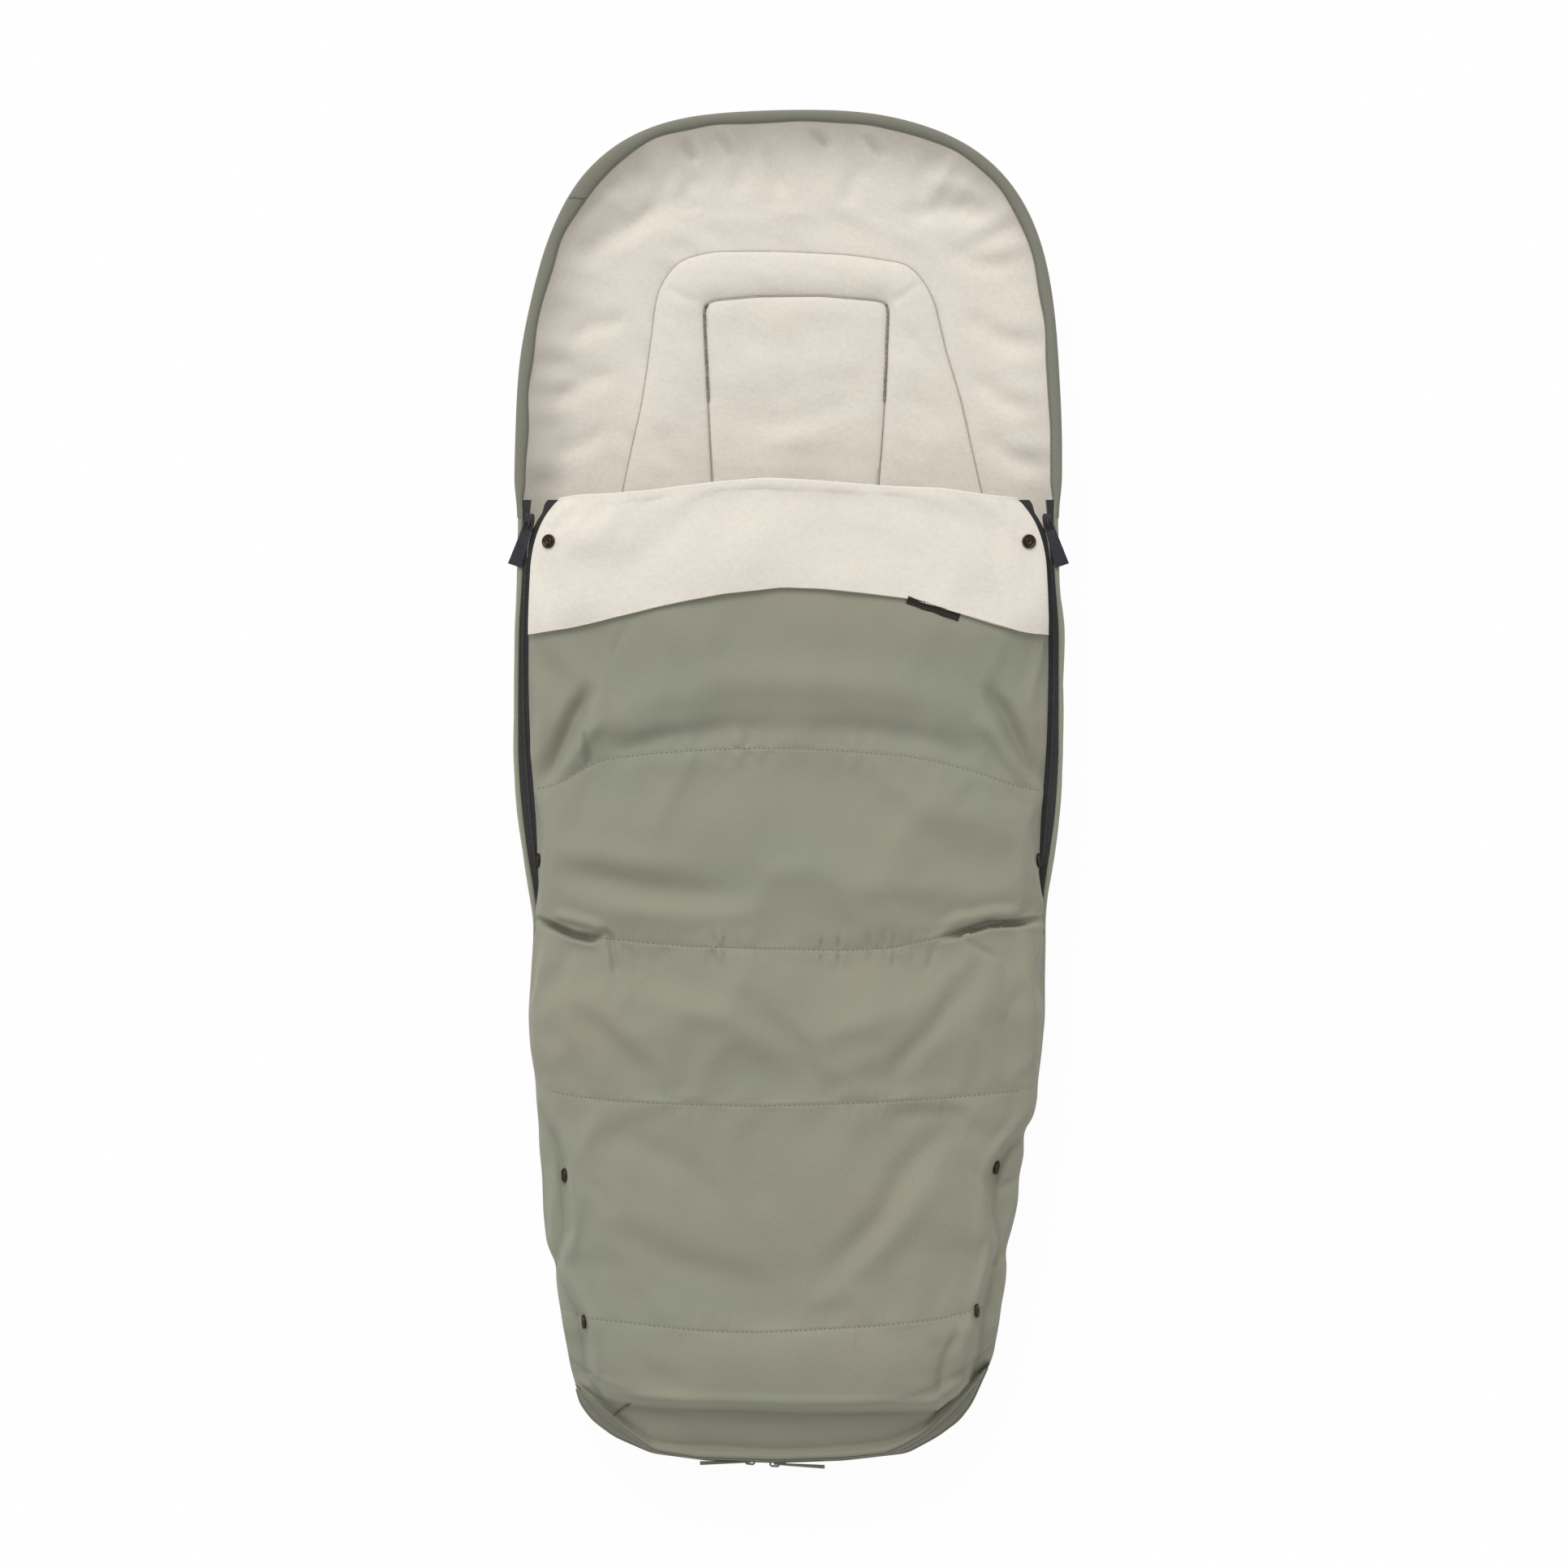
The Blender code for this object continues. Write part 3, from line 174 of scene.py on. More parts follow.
TOE_FOLDS = (
    (((778, 1727), (766, 1736), (754, 1746)), 0.0020, 0.0022, 0.25),
    (((760, 1650), (800, 1690), (860, 1712)), 0.011, 0.0014),
    (((1150, 1640), (1160, 1680), (1150, 1725)), 0.008, 0.0020, 0.25),
    (((1184, 1630), (1166, 1668), (1160, 1712), (1170, 1735)), 0.0050, 0.0022, 0.25),
    (((1190, 1620), (1182, 1660), (1186, 1700)), 0.0050, -0.0016),
    (((1050, 1650), (1070, 1690), (1060, 1722)), 0.010, 0.0009),
    (((840, 1745), (860, 1765), (870, 1790)), 0.009, 0.0008),
    (((1000, 1748), (1030, 1768), (1050, 1788)), 0.010, 0.0008),
    (((1180, 1722), (1166, 1742), (1132, 1774)), 0.0030, 0.0014, 0.25),
)
HEAD_FOLDS = (
    (((838, 152), (848, 178), (860, 200)), 0.0050, 0.0030),
    (((880, 146), (895, 172), (906, 194)), 0.0046, 0.0030),
    (((940, 165), (955, 210), (967, 245)), 0.0065, 0.0018),
    (((1002, 146), (1012, 166), (1024, 182)), 0.0046, 0.0030),
    (((1064, 150), (1080, 178), (1098, 190)), 0.0050, 0.0030),
    (((862, 205), (845, 240), (862, 275)), 0.010, 0.0013),
    (((695, 325), (745, 292), (800, 262), (850, 235)), 0.011, 0.0020),
    (((700, 285), (745, 250), (790, 222)), 0.010, -0.0012),
    (((1095, 268), (1170, 254), (1250, 262)), 0.011, 0.0018),
    (((1120, 215), (1170, 222), (1230, 245)), 0.010, -0.0012),
    (((830, 175), (822, 215), (800, 255), (760, 300)), 0.008, 0.0010),
    (((905, 165), (915, 205), (905, 245)), 0.009, 0.0011),
    (((1075, 190), (1052, 220), (1040, 260)), 0.009, 0.0010),
    (((690, 420), (730, 400), (790, 390)), 0.009, 0.0011),
    (((672, 500), (715, 470), (770, 455)), 0.010, 0.0012),
    (((668, 560), (720, 545), (765, 520)), 0.010, 0.0010),
    (((1180, 380), (1225, 410), (1280, 425)), 0.010, 0.0011),
    (((1190, 455), (1235, 490), (1285, 510)), 0.010, 0.0012),
    (((1205, 530), (1245, 560), (1290, 575)), 0.010, 0.0010),
    (((1150, 300), (1200, 320), (1262, 330)), 0.010, 0.0010),
)
PAD_FOLDS = (
    (((812, 346), (838, 362), (866, 372)), 0.004, 0.0010, 0.2),
    (((1142, 340), (1122, 356), (1098, 372)), 0.004, 0.0010, 0.2),
    (((1108, 400), (1140, 430), (1166, 470)), 0.006, 0.0009),
    (((800, 520), (830, 560), (860, 600)), 0.008, 0.0008),
)
INSET_FOLDS = (
    (((900, 400), (950, 430), (1010, 440)), 0.012, 0.0008),
    (((890, 500), (960, 520), (1060, 490)), 0.012, 0.0007),
)
CUFF_FOLDS = (
    (((680, 664), (695, 650), (712, 634), (722, 616)), 0.0042, 0.0022, 0.25),
    (((674, 652), (690, 634), (706, 618)), 0.0045, -0.0012),
    (((690, 690), (740, 655), (800, 612)), 0.015, -0.0014),
    (((752, 720), (790, 690), (830, 655), (872, 620)), 0.013, 0.0012),
    (((850, 735), (900, 690), (960, 650), (1010, 610)), 0.017, -0.0007),
    (((1000, 652), (1050, 660), (1110, 668)), 0.010, 0.0008),
    (((1000, 700), (1080, 680), (1160, 690)), 0.016, 0.0010),
    (((1264, 662), (1248, 645), (1232, 618)), 0.0042, 0.0016, 0.25),
    (((1110, 605), (1150, 640), (1170, 690), (1165, 740)), 0.014, 0.0012),
    (((1215, 620), (1225, 680), (1235, 750)), 0.012, 0.0010),
)

# Sections of inset or radius, and height, in metres
BINDING_SECTION = (
    (-0.0001, -0.0090), (-0.0009, -0.0075), (-0.0012, -0.0035), (-0.0009, 0.0002), (0.0004, 0.0017), (0.0026, 0.0023),
    (0.0050, 0.0019), (0.0068, 0.0008), (0.0078, -0.0008), (0.0082, -0.0026), (0.0074, -0.0030), (0.0066, -0.0014),
    (0.0050, 0.0002), (0.0028, 0.0008), (0.0012, 0.0004), (0.0005, -0.0010), (0.0006, -0.0060), (0.0007, -0.0090),
)
SNAP_PROFILE = (
    (0.0, -0.0004), (0.0046, -0.0004), (0.0051, 0.0001), (0.0053, 0.0008), (0.0051, 0.0015), (0.0046, 0.0019),
    (0.0040, 0.0018), (0.0036, 0.0013), (0.0032, 0.0012), (0.0028, 0.0017), (0.0022, 0.0020), (0.0016, 0.0018),
    (0.0012, 0.0013), (0.0006, 0.0012), (0.0, 0.00125),
)
# The strap slots and the crotch slot: middle, then width and length
SLOTS = (((-0.0662, 0.3195), (0.0052, 0.067)), ((0.0662, 0.3195), (0.0052, 0.067)), ((0.0, 0.085), (0.044, 0.0052)))

# Heights
SHELL_RIM, HEAD_RIM, FOOT_RIM = 0.056, 0.037, 0.0471
FLOOR_TURN, BELLY = 0.022, 0.024
LINING_TOP = 0.0158
ZIP_RADIUS, ZIP_HALF, ZIP_MIDDLE_Y = 1.230, 0.196, 0.090
ZIP_TOP_Y, ZIP_FOOT_Y = 0.2090, -0.1110
TAPE_LOW, TAPE_HIGH = 0.0563, 0.0573
COVER_BASE, LOWER_BASE = 0.0576, 0.0563
LINE_STEPS = 401  # points of a smoothed line
COVER_COLUMNS, CHANNEL_ROWS = 301, 73  # points across the cover and down each of its channels
ZIP_REACH = (-0.2, 0.23)  # the side zips' arc is meant between these heights
GUSSET_DROP = 0.0105  # from the raised panel down to the cloth beside it
# The camera's sensor in millimetres, then its distance from the cloth and the width it sees there in metres
SENSOR, CAMERA_DISTANCE, FRAME_WIDTH = 36, 9.0, 1.1592


def ease(low, high, value):
    """0 below low and 1 above high, with a soft step between them."""
    share = np.clip((np.asarray(value, float) - low) / (high - low), 0, 1)
    return share * share * (3 - 2 * share)


def blurred(values, reach):
    """Values smoothed along their first axis, with the ends kept."""
    reach = max(int(reach), 1)
    weights = np.exp(-0.5 * (np.arange(-3 * reach, 3 * reach + 1) / reach) ** 2)
    weights /= weights.sum()
    before, after = values[3 * reach:0:-1], values[-2:-3 * reach - 2:-1]
    padded = np.concatenate((2 * values[:1] - before, values, 2 * values[-1:] - after))
    return np.stack([np.convolve(column, weights, "valid") for column in padded.T], -1)


def lengths_along(points, axis=0):
    """Distance walked along one axis of a line or grid of points."""
    steps = np.linalg.norm(np.diff(points, axis=axis), axis=-1)
    start = np.zeros_like(np.take(steps, [0], axis=axis))
    return np.concatenate((start, np.cumsum(steps, axis=axis)), axis=axis)


def evenly(points, count):
    """A polyline's points, moved to even steps along it."""
    points = np.asarray(points, float)
    steps = lengths_along(points)
    wanted = np.linspace(0, steps[-1], count)
    return np.stack([np.interp(wanted, steps, column) for column in points.T], -1)


def smooth_line(points, count=LINE_STEPS, reach=4):
    """A line of the picture in metres, with its corners rounded."""
    return evenly(blurred(evenly(place(points), LINE_STEPS), reach), count)


def edge_table():
    """Left and right edge at even heights, from the foot up."""
    heights = np.linspace(0.49, -0.494, 500)
    sides = []
    for column in (1, 2):
        line = place([(row[column], row[0]) for row in OUTLINE])[::-1]
        sides.append(np.interp(heights, line[:, 1], line[:, 0]))
    return (heights[::-1], *blurred(np.stack(sides, -1), 2)[::-1].T)


EDGE_Y, EDGE_LEFT, EDGE_RIGHT = edge_table()


def edges(y):
    return np.interp(y, EDGE_Y, EDGE_LEFT), np.interp(y, EDGE_Y, EDGE_RIGHT)


def outline_loop(count=900):
    """The whole outline, from the head's middle down the right side and up the left."""
    right = [(row[2], row[0]) for row in OUTLINE]
    left = [(row[1], row[0]) for row in OUTLINE]
    loop = list(TOP[4:]) + right + list(BOTTOM) + left[::-1] + list(TOP[:5])
    points = evenly(place(loop), count + 1)[:-1]
    around = np.concatenate((points, points, points))
    close, wide = blurred(around, 2)[count:2 * count], blurred(around, 6)[count:2 * count]
    head = ease(0.19, 0.26, points[:, 1:])
    points = close * (1 - head) + wide * head
    return evenly(np.concatenate((points, points[:1])), count + 1)[:-1]


LOOP = outline_loop()
LOOP_Y = LOOP[:, 1]
ALONG = np.roll(LOOP, -1, 0) - np.roll(LOOP, 1, 0)
INWARD = np.stack((ALONG[:, 1], -ALONG[:, 0]), -1) / np.linalg.norm(ALONG, axis=1)[:, None]


def rim_height(y):
    """The height of the shell's edge along its length."""
    head = SHELL_RIM + (HEAD_RIM - SHELL_RIM) * ease(0.26, 0.47, y)
    return np.where(np.asarray(y) >= 0, head, SHELL_RIM + (FOOT_RIM - SHELL_RIM) * ease(-0.40, -0.42, y))


LOOP_RIM = rim_height(LOOP_Y)


def loop_ring(inset, z):
    """The outline moved inwards, at heights z."""
    return np.concatenate((LOOP + INWARD * np.broadcast_to(inset, z.shape)[:, None], z[:, None]), 1)


def zip_line(y, outward=0.0):
    """Distance of a side zip from the middle."""
    radius = ZIP_RADIUS + outward
    return ZIP_HALF - ZIP_RADIUS + np.sqrt(radius ** 2 - (y - ZIP_MIDDLE_Y) ** 2)


def parting(y):
    """How far the cover's edge leaves the zip towards the mouth."""
    share = np.clip(np.asarray(y, float) - 0.160, 0, None) / 0.0524
    return 0.0204 * (0.3 * share ** 1.4 + 0.7 * share ** 3)


def beside_zip(y, gap):
    """Distance from the middle of cloth that keeps a gap to the side zip."""
    return zip_line(np.clip(y, *ZIP_REACH)) - gap - parting(y)


def ripple(x, y, size, seed):
    """Soft folds of one size with no direction."""
    chance = np.random.default_rng(seed)
    waves = 18
    total = np.zeros(np.broadcast(x, y).shape)
    for _ in range(waves):
        turn, shift, wide = chance.uniform(0, 2 * math.pi), chance.uniform(0, 2 * math.pi), chance.uniform(0.7, 1.5)
        total += np.sin((x * math.cos(turn) + y * math.sin(turn)) * 2 * math.pi / (size * wide) + shift)
    return total / math.sqrt(waves)


def to_line(x, y, line):
    """Distance to a line, and the share of the way along it."""
    best, share = np.full(x.shape, 1e9), np.zeros(x.shape)
    lengths = lengths_along(line)
    for k in range(len(line) - 1):
        start, step = line[k], line[k + 1] - line[k]
        t = np.clip(((x - start[0]) * step[0] + (y - start[1]) * step[1]) / max(step @ step, 1e-12), 0, 1)
        away = np.hypot(x - start[0] - t * step[0], y - start[1] - t * step[1])
        nearer = away < best
        best = np.where(nearer, away, best)
        share = np.where(nearer, (lengths[k] + t * (lengths[k + 1] - lengths[k])) / lengths[-1], share)
    return best, share


def fold(x, y, points, width, depth, fade=0.3):
    """A soft fold along a line of the picture: a valley for a positive depth, a ridge for a negative one."""
    away, share = to_line(x, y, evenly(place(points), 24))
    ends = ease(0, fade, share) * ease(0, fade, 1 - share)
    scaled = away / width
    return -depth * ends * (1 - 0.7 * scaled ** 2) * np.exp(-scaled ** 2)


def folds(x, y, table):
    return sum(fold(x, y, *row) for row in table)


# Meshes

def finished(name, mesh, finish, sharp=60):
    """An object from a bmesh, closed, facing outwards and shaded smooth."""
    if mesh.calc_volume(signed=True) < 0:
        bmesh.ops.reverse_faces(mesh, faces=mesh.faces)
    data = bpy.data.meshes.new(name)
    mesh.to_mesh(data)
    mesh.free()
    data.shade_smooth()
    data.set_sharp_from_angle(angle=math.radians(sharp))
    data.materials.append(material(finish))
    return linked(name, data)


def linked(name, data):
    thing = bpy.data.objects.new(name, data)
    bpy.context.scene.collection.objects.link(thing)
    return thing


def closed(name, verts, faces, uvs, finish, sharp=60):
    """A closed object from arrays, with a UV for each vertex."""
    data = bpy.data.meshes.new(name + "_raw")
    data.from_pydata(np.asarray(verts).reshape(-1, 3).tolist(), [], [list(map(int, f)) for f in faces])
    layer = data.uv_layers.new(name="Cloth")
    index = np.empty(len(data.loops), int)
    data.loops.foreach_get("vertex_index", index)
    layer.data.foreach_set("uv", np.asarray(uvs).reshape(-1, 2)[index].astype(np.float32).ravel())
    mesh = bmesh.new()
    mesh.from_mesh(data)
    bpy.data.meshes.remove(data)
    bmesh.ops.recalc_face_normals(mesh, faces=mesh.faces)
    return finished(name, mesh, finish, sharp)


def sheet_uv(points):
    """Places on the flat cloth, in metres, counted from the middle column."""
    across, down = lengths_along(points, 1), lengths_along(points)
    middle = slice(points.shape[1] // 2, points.shape[1] // 2 + 1)
    return np.stack((across - across[:, middle], np.broadcast_to(down[:, middle], across.shape)), -1)


def normals_of(points):
    out = np.cross(np.gradient(points, axis=1), np.gradient(points, axis=0))
    out /= np.maximum(np.linalg.norm(out, axis=-1, keepdims=True), 1e-12)
    return out if out[..., 2].sum() > 0 else -out


def quads(rows, columns, start=0, wrap=False):
    grid = np.arange(rows * columns).reshape(rows, columns) + start
    here, after = (grid, np.roll(grid, -1, 1)) if wrap else (grid[:, :-1], grid[:, 1:])
    return np.stack((here[:-1], after[:-1], after[1:], here[1:]), -1).reshape(-1, 4)


def two_sided(name, top, under, finish):
    """A closed piece between an upper and a lower grid."""
    rows, columns = top.shape[:2]
    count = rows * columns
    faces = list(quads(rows, columns)) + [f[::-1] for f in quads(rows, columns, count)]
    grid = np.arange(count).reshape(rows, columns)
    rim = np.concatenate((grid[0], grid[1:, -1], grid[-1, -2::-1], grid[-2:0:-1, 0]))
    faces += [(b, a, a + count, b + count) for a, b in zip(rim, np.roll(rim, -1))]
    uv = sheet_uv(top).reshape(-1, 2)
    verts = np.concatenate((top.reshape(-1, 3), under.reshape(-1, 3)))
    return closed(name, verts, faces, np.concatenate((uv, uv)), finish)


def ringed(name, rings, finish, sharp=60):
    """A closed piece through rings of equal length, with flat ends."""
    rows, columns = rings.shape[:2]
    faces = list(quads(rows, columns, wrap=True))
    faces += [list(range(columns))[::-1], list(range((rows - 1) * columns, rows * columns))]
    across = lengths_along(rings, 1)
    uv = np.stack((across, np.broadcast_to(lengths_along(rings)[:, :1], across.shape)), -1)
    return closed(name, rings, faces, uv, finish, sharp)


def upright(count):
    return np.tile((0.0, 0.0, 1.0), (count, 1))


def swept(name, line, wide, tall, finish, corner=45):
    """An oval cord along a line, its half width and half height given, with a corner every so many degrees."""
    section = np.array([(wide * math.cos(t), tall * math.sin(t)) for t in np.radians(np.arange(0, 360, corner))])
    ahead = np.gradient(line, axis=0)
    ahead /= np.linalg.norm(ahead, axis=1, keepdims=True)
    side = np.cross(ahead, upright(len(line)))
    side /= np.linalg.norm(side, axis=1, keepdims=True)
    up = np.cross(side, ahead)
    rings = line[:, None] + side[:, None] * section[None, :, :1] + up[:, None] * section[None, :, 1:]
    return ringed(name, rings, finish)


def settled(top, held, slack, frames=14, pressure=4.0, cap=0.006):
    """The sheet as a cloth simulation leaves it, blown up lightly from inside and held along its seams."""
    full, full_held = top, held
    picks = [np.unique(np.append(np.arange(0, count, 2), count - 1)) for count in top.shape[:2]]
    top, held = top[np.ix_(*picks)], np.round(held[np.ix_(*picks)].ravel(), 1)
    rows, columns = top.shape[:2]
    data = bpy.data.meshes.new("settling")
    data.from_pydata(top.reshape(-1, 3).tolist(), [], quads(rows, columns).tolist())
    thing = linked("settling", data)
    group = thing.vertex_groups.new(name="held")
    for level in np.unique(held):
        if level > 0:
            group.add(np.flatnonzero(np.abs(held - level) < 0.01).tolist(), float(level), "REPLACE")
    cloth = thing.modifiers.new("cloth", "CLOTH")
    for key, value in dict(
        vertex_group_mass="held", quality=4, mass=0.15, tension_stiffness=12, compression_stiffness=12,
        shear_stiffness=4, bending_stiffness=0.8, air_damping=6, shrink_min=-slack, shrink_max=-slack,
        use_pressure=True, uniform_pressure_force=pressure,
    ).items():
        setattr(cloth.settings, key, value)
    cloth.settings.effector_weights.gravity = 0
    cloth.collision_settings.use_collision = False
    cloth.point_cache.frame_start, cloth.point_cache.frame_end = 1, frames
    for step in range(1, frames + 1):
        bpy.context.scene.frame_set(step)
    result = thing.evaluated_get(bpy.context.evaluated_depsgraph_get()).to_mesh()
    moved = np.empty(rows * columns * 3, np.float32)
    result.vertices.foreach_get("co", moved)
    bpy.data.objects.remove(thing, do_unlink=True)
    bpy.data.meshes.remove(data)
    bpy.context.scene.frame_set(1)
    shift = moved.reshape(top.shape).astype(float) - top
    for axis, count in enumerate(full.shape[:2]):
        turned = np.moveaxis(shift, axis, 0)
        flat = blurred(turned.reshape(turned.shape[0], -1), 1)
        flat = np.stack([np.interp(np.arange(count), picks[axis], column) for column in flat.T], -1)
        shift = np.moveaxis(flat.reshape(count, *turned.shape[1:]), 0, axis)
    shift *= (1 - full_held)[..., None]
    size = np.linalg.norm(shift, axis=-1, keepdims=True)
    return full + shift * cap * np.tanh(size / cap) / np.maximum(size, 1e-9)


def dressed(piece, body, slot, *solids, fill=None):
    """Hides the solids that a piece stands for and hangs it on the body that it rides on; its material slot and how
    full it is padded are not used.
    """
    if solids:
        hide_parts(*solids)
    if body:
        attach(piece, body)
    return piece


# Materials

def feed(made, inputs):
    """Gives a node's inputs their values, or links them from another node's outputs."""
    for key, value in inputs.items():
        if isinstance(value, bpy.types.NodeSocket):
            made.id_data.links.new(value, made.inputs[key])
        else:
            made.inputs[key].default_value = value


def add(tree, kind, inputs, **settings):
    made = tree.nodes.new("ShaderNode" + kind)
    for key, value in settings.items():
        setattr(made, key, value)
    feed(made, inputs)
    return made


def maths(tree, operation, *values):
    return add(tree, "Math", dict(enumerate(values)), operation=operation).outputs[0]


def group_tree(name, inputs, outputs):
    """A new node group, from rows of socket name, kind and default."""
    tree = bpy.data.node_groups.new(name, "ShaderNodeTree")
    for title, kind, default in inputs:
        made = tree.interface.new_socket(name=title, in_out="INPUT", socket_type="NodeSocket" + kind)
        if default is not None:
            made.default_value = default
    for title, kind in outputs:
        tree.interface.new_socket(name=title, in_out="OUTPUT", socket_type="NodeSocket" + kind)
    return tree, tree.nodes.new("NodeGroupInput").outputs, tree.nodes.new("NodeGroupOutput")


def weave_group():
    """Crossing threads of one size, as a height."""
    if "Woven cloth" in bpy.data.node_groups:
        return bpy.data.node_groups["Woven cloth"]
    tree, given, result = group_tree(
        "Woven cloth", (("Vector", "Vector", None), ("Threads per metre", "Float", 1500.0)), (("Height", "Float"),))
    split = add(tree, "SeparateXYZ", {0: given["Vector"]}).outputs
    counts = (maths(tree, "MULTIPLY", split[k], given["Threads per metre"]) for k in (0, 1))
    turns = [maths(tree, "MULTIPLY", count, math.pi) for count in counts]
    warp, weft = (maths(tree, "ABSOLUTE", maths(tree, "SINE", turn)) for turn in turns)
    above = maths(tree, "GREATER_THAN", maths(tree, "SINE", maths(tree, "ADD", *turns)), 0.0)
    under = maths(tree, "SUBTRACT", 1.0, above)
    seen = (maths(tree, "MULTIPLY", warp, above), maths(tree, "MULTIPLY", weft, under))
    feed(result, {"Height": maths(tree, "ADD", *seen)})
    return tree


def mottle_group():
    """Slow changes of colour over a cloth, between two tones."""
    if "Cloth mottle" in bpy.data.node_groups:
        return bpy.data.node_groups["Cloth mottle"]
    grey = (0.5, 0.5, 0.5, 1)
    tree, given, result = group_tree(
        "Cloth mottle",
        (("Vector", "Vector", None), ("First", "Color", grey), ("Second", "Color", grey),
         ("Patch size", "Float", 9.0), ("Shade", "Float", 1.0)),
        (("Color", "Color"), ("Mask", "Float")),
    )
    noise = add(tree, "TexNoise", {
        "Detail": 3, "Roughness": 0.55, "Vector": given["Vector"], "Scale": given["Patch size"]})
    spread = add(tree, "MapRange", {"From Min": 0.32, "From Max": 0.68, "Value": noise.outputs["Fac"]}).outputs[0]
    mix = add(tree, "Mix", {"Factor": spread, "A": given["First"], "B": given["Second"]}, data_type="RGBA")
    shade = add(tree, "Mix", {"Factor": 1, "A": mix.outputs["Result"], "B": given["Shade"]},
                data_type="RGBA", blend_type="MULTIPLY")
    feed(result, {"Color": shade.outputs["Result"], "Mask": spread})
    return tree


def new_material(name, roughness, metallic=0.0, sheen=0.0, sheen_roughness=0.5):
    made = bpy.data.materials.new(name)
    made.use_nodes = True
    shader = made.node_tree.nodes["Principled BSDF"]
    feed(shader, {"Roughness": roughness, "Metallic": metallic, "Sheen Weight": sheen,
                  "Sheen Roughness": sheen_roughness})
    return made, made.node_tree, shader


def mottled(tree, shader, where, first, second, patch, shade=None):
    """The base colour: two tones in patches, shaded by a value."""
    inputs = {"First": first, "Second": second, "Patch size": patch, "Vector": where}
    if shade:
        inputs["Shade"] = shade
    mottle = add(tree, "Group", inputs, node_tree=mottle_group())
    feed(shader, {"Base Color": mottle.outputs["Color"]})
    return mottle.outputs["Mask"]


def relief(tree, shader, height, distance, strength=1.0, under=None):
    """A bump from a height, over the bump of a coarser one."""
    inputs = {"Distance": distance, "Strength": strength, "Height": height}
    if under:
        inputs["Normal"] = under
    bump = add(tree, "Bump", inputs).outputs[0]
    feed(shader, {"Normal": bump})
    return bump


def noise_of(tree, where, **inputs):
    return add(tree, "TexNoise", {**inputs, "Vector": where}).outputs["Fac"]


def cloth_material(name, first, second, threads, relief_depth, roughness=0.8, sheen=0.15, on_sheet=True, patch=9.0):
    """Woven cloth: threads, a faint nub and a slow change of tone."""
    made, tree, shader = new_material(name, roughness, sheen=sheen)
    where = add(tree, "TexCoord", {}).outputs["Object"]
    flat = add(tree, "UVMap", {}, uv_map="Cloth").outputs[0]
    weave = add(tree, "Group", {"Threads per metre": threads, "Vector": flat if on_sheet else where},
                node_tree=weave_group()).outputs["Height"]
    shade = add(tree, "MapRange", {"To Min": 0.90, "To Max": 1.06, "Value": weave}).outputs[0]
    mottled(tree, shader, where, first, second, patch, shade)
    soft = relief(tree, shader, noise_of(tree, where, Scale=900, Detail=2), relief_depth * 0.6)
    relief(tree, shader, weave, relief_depth, under=soft)
    return made


def fleece_material(name, first, second):
    """Short brushed pile: clumps of fibre over fine hair."""
    made, tree, shader = new_material(name, 0.95, sheen=0.35, sheen_roughness=0.6)
    where = add(tree, "TexCoord", {}).outputs["Object"]
    clumps = noise_of(tree, where, Scale=260, Detail=5, Roughness=0.7)
    hair = noise_of(tree, where, Scale=1700, Detail=3)
    shade = add(tree, "MapRange", {
        "From Min": 0.3, "From Max": 0.7, "To Min": 0.94, "To Max": 1.03, "Value": clumps}).outputs[0]
    mottled(tree, shader, where, first, second, 14, shade)
    soft = relief(tree, shader, clumps, 0.0007, 0.6)
    relief(tree, shader, hair, 0.0002, 0.6, soft)
    return made


def metal_material(name, colour, roughness, metallic, wear):
    """Enamelled or antiqued metal, with lighter worn spots and fine scratches."""
    made, tree, shader = new_material(name, roughness, metallic)
    where = add(tree, "TexCoord", {}).outputs["Object"]
    mask = mottled(tree, shader, where, colour, wear, 420)
    rough = add(tree, "MapRange", {"To Min": roughness * 0.8, "To Max": min(roughness * 1.3, 1), "Value": mask})
    feed(shader, {"Roughness": rough.outputs[0]})
    relief(tree, shader, noise_of(tree, where, Scale=2500), 0.00004)
    return made


MADE = {}


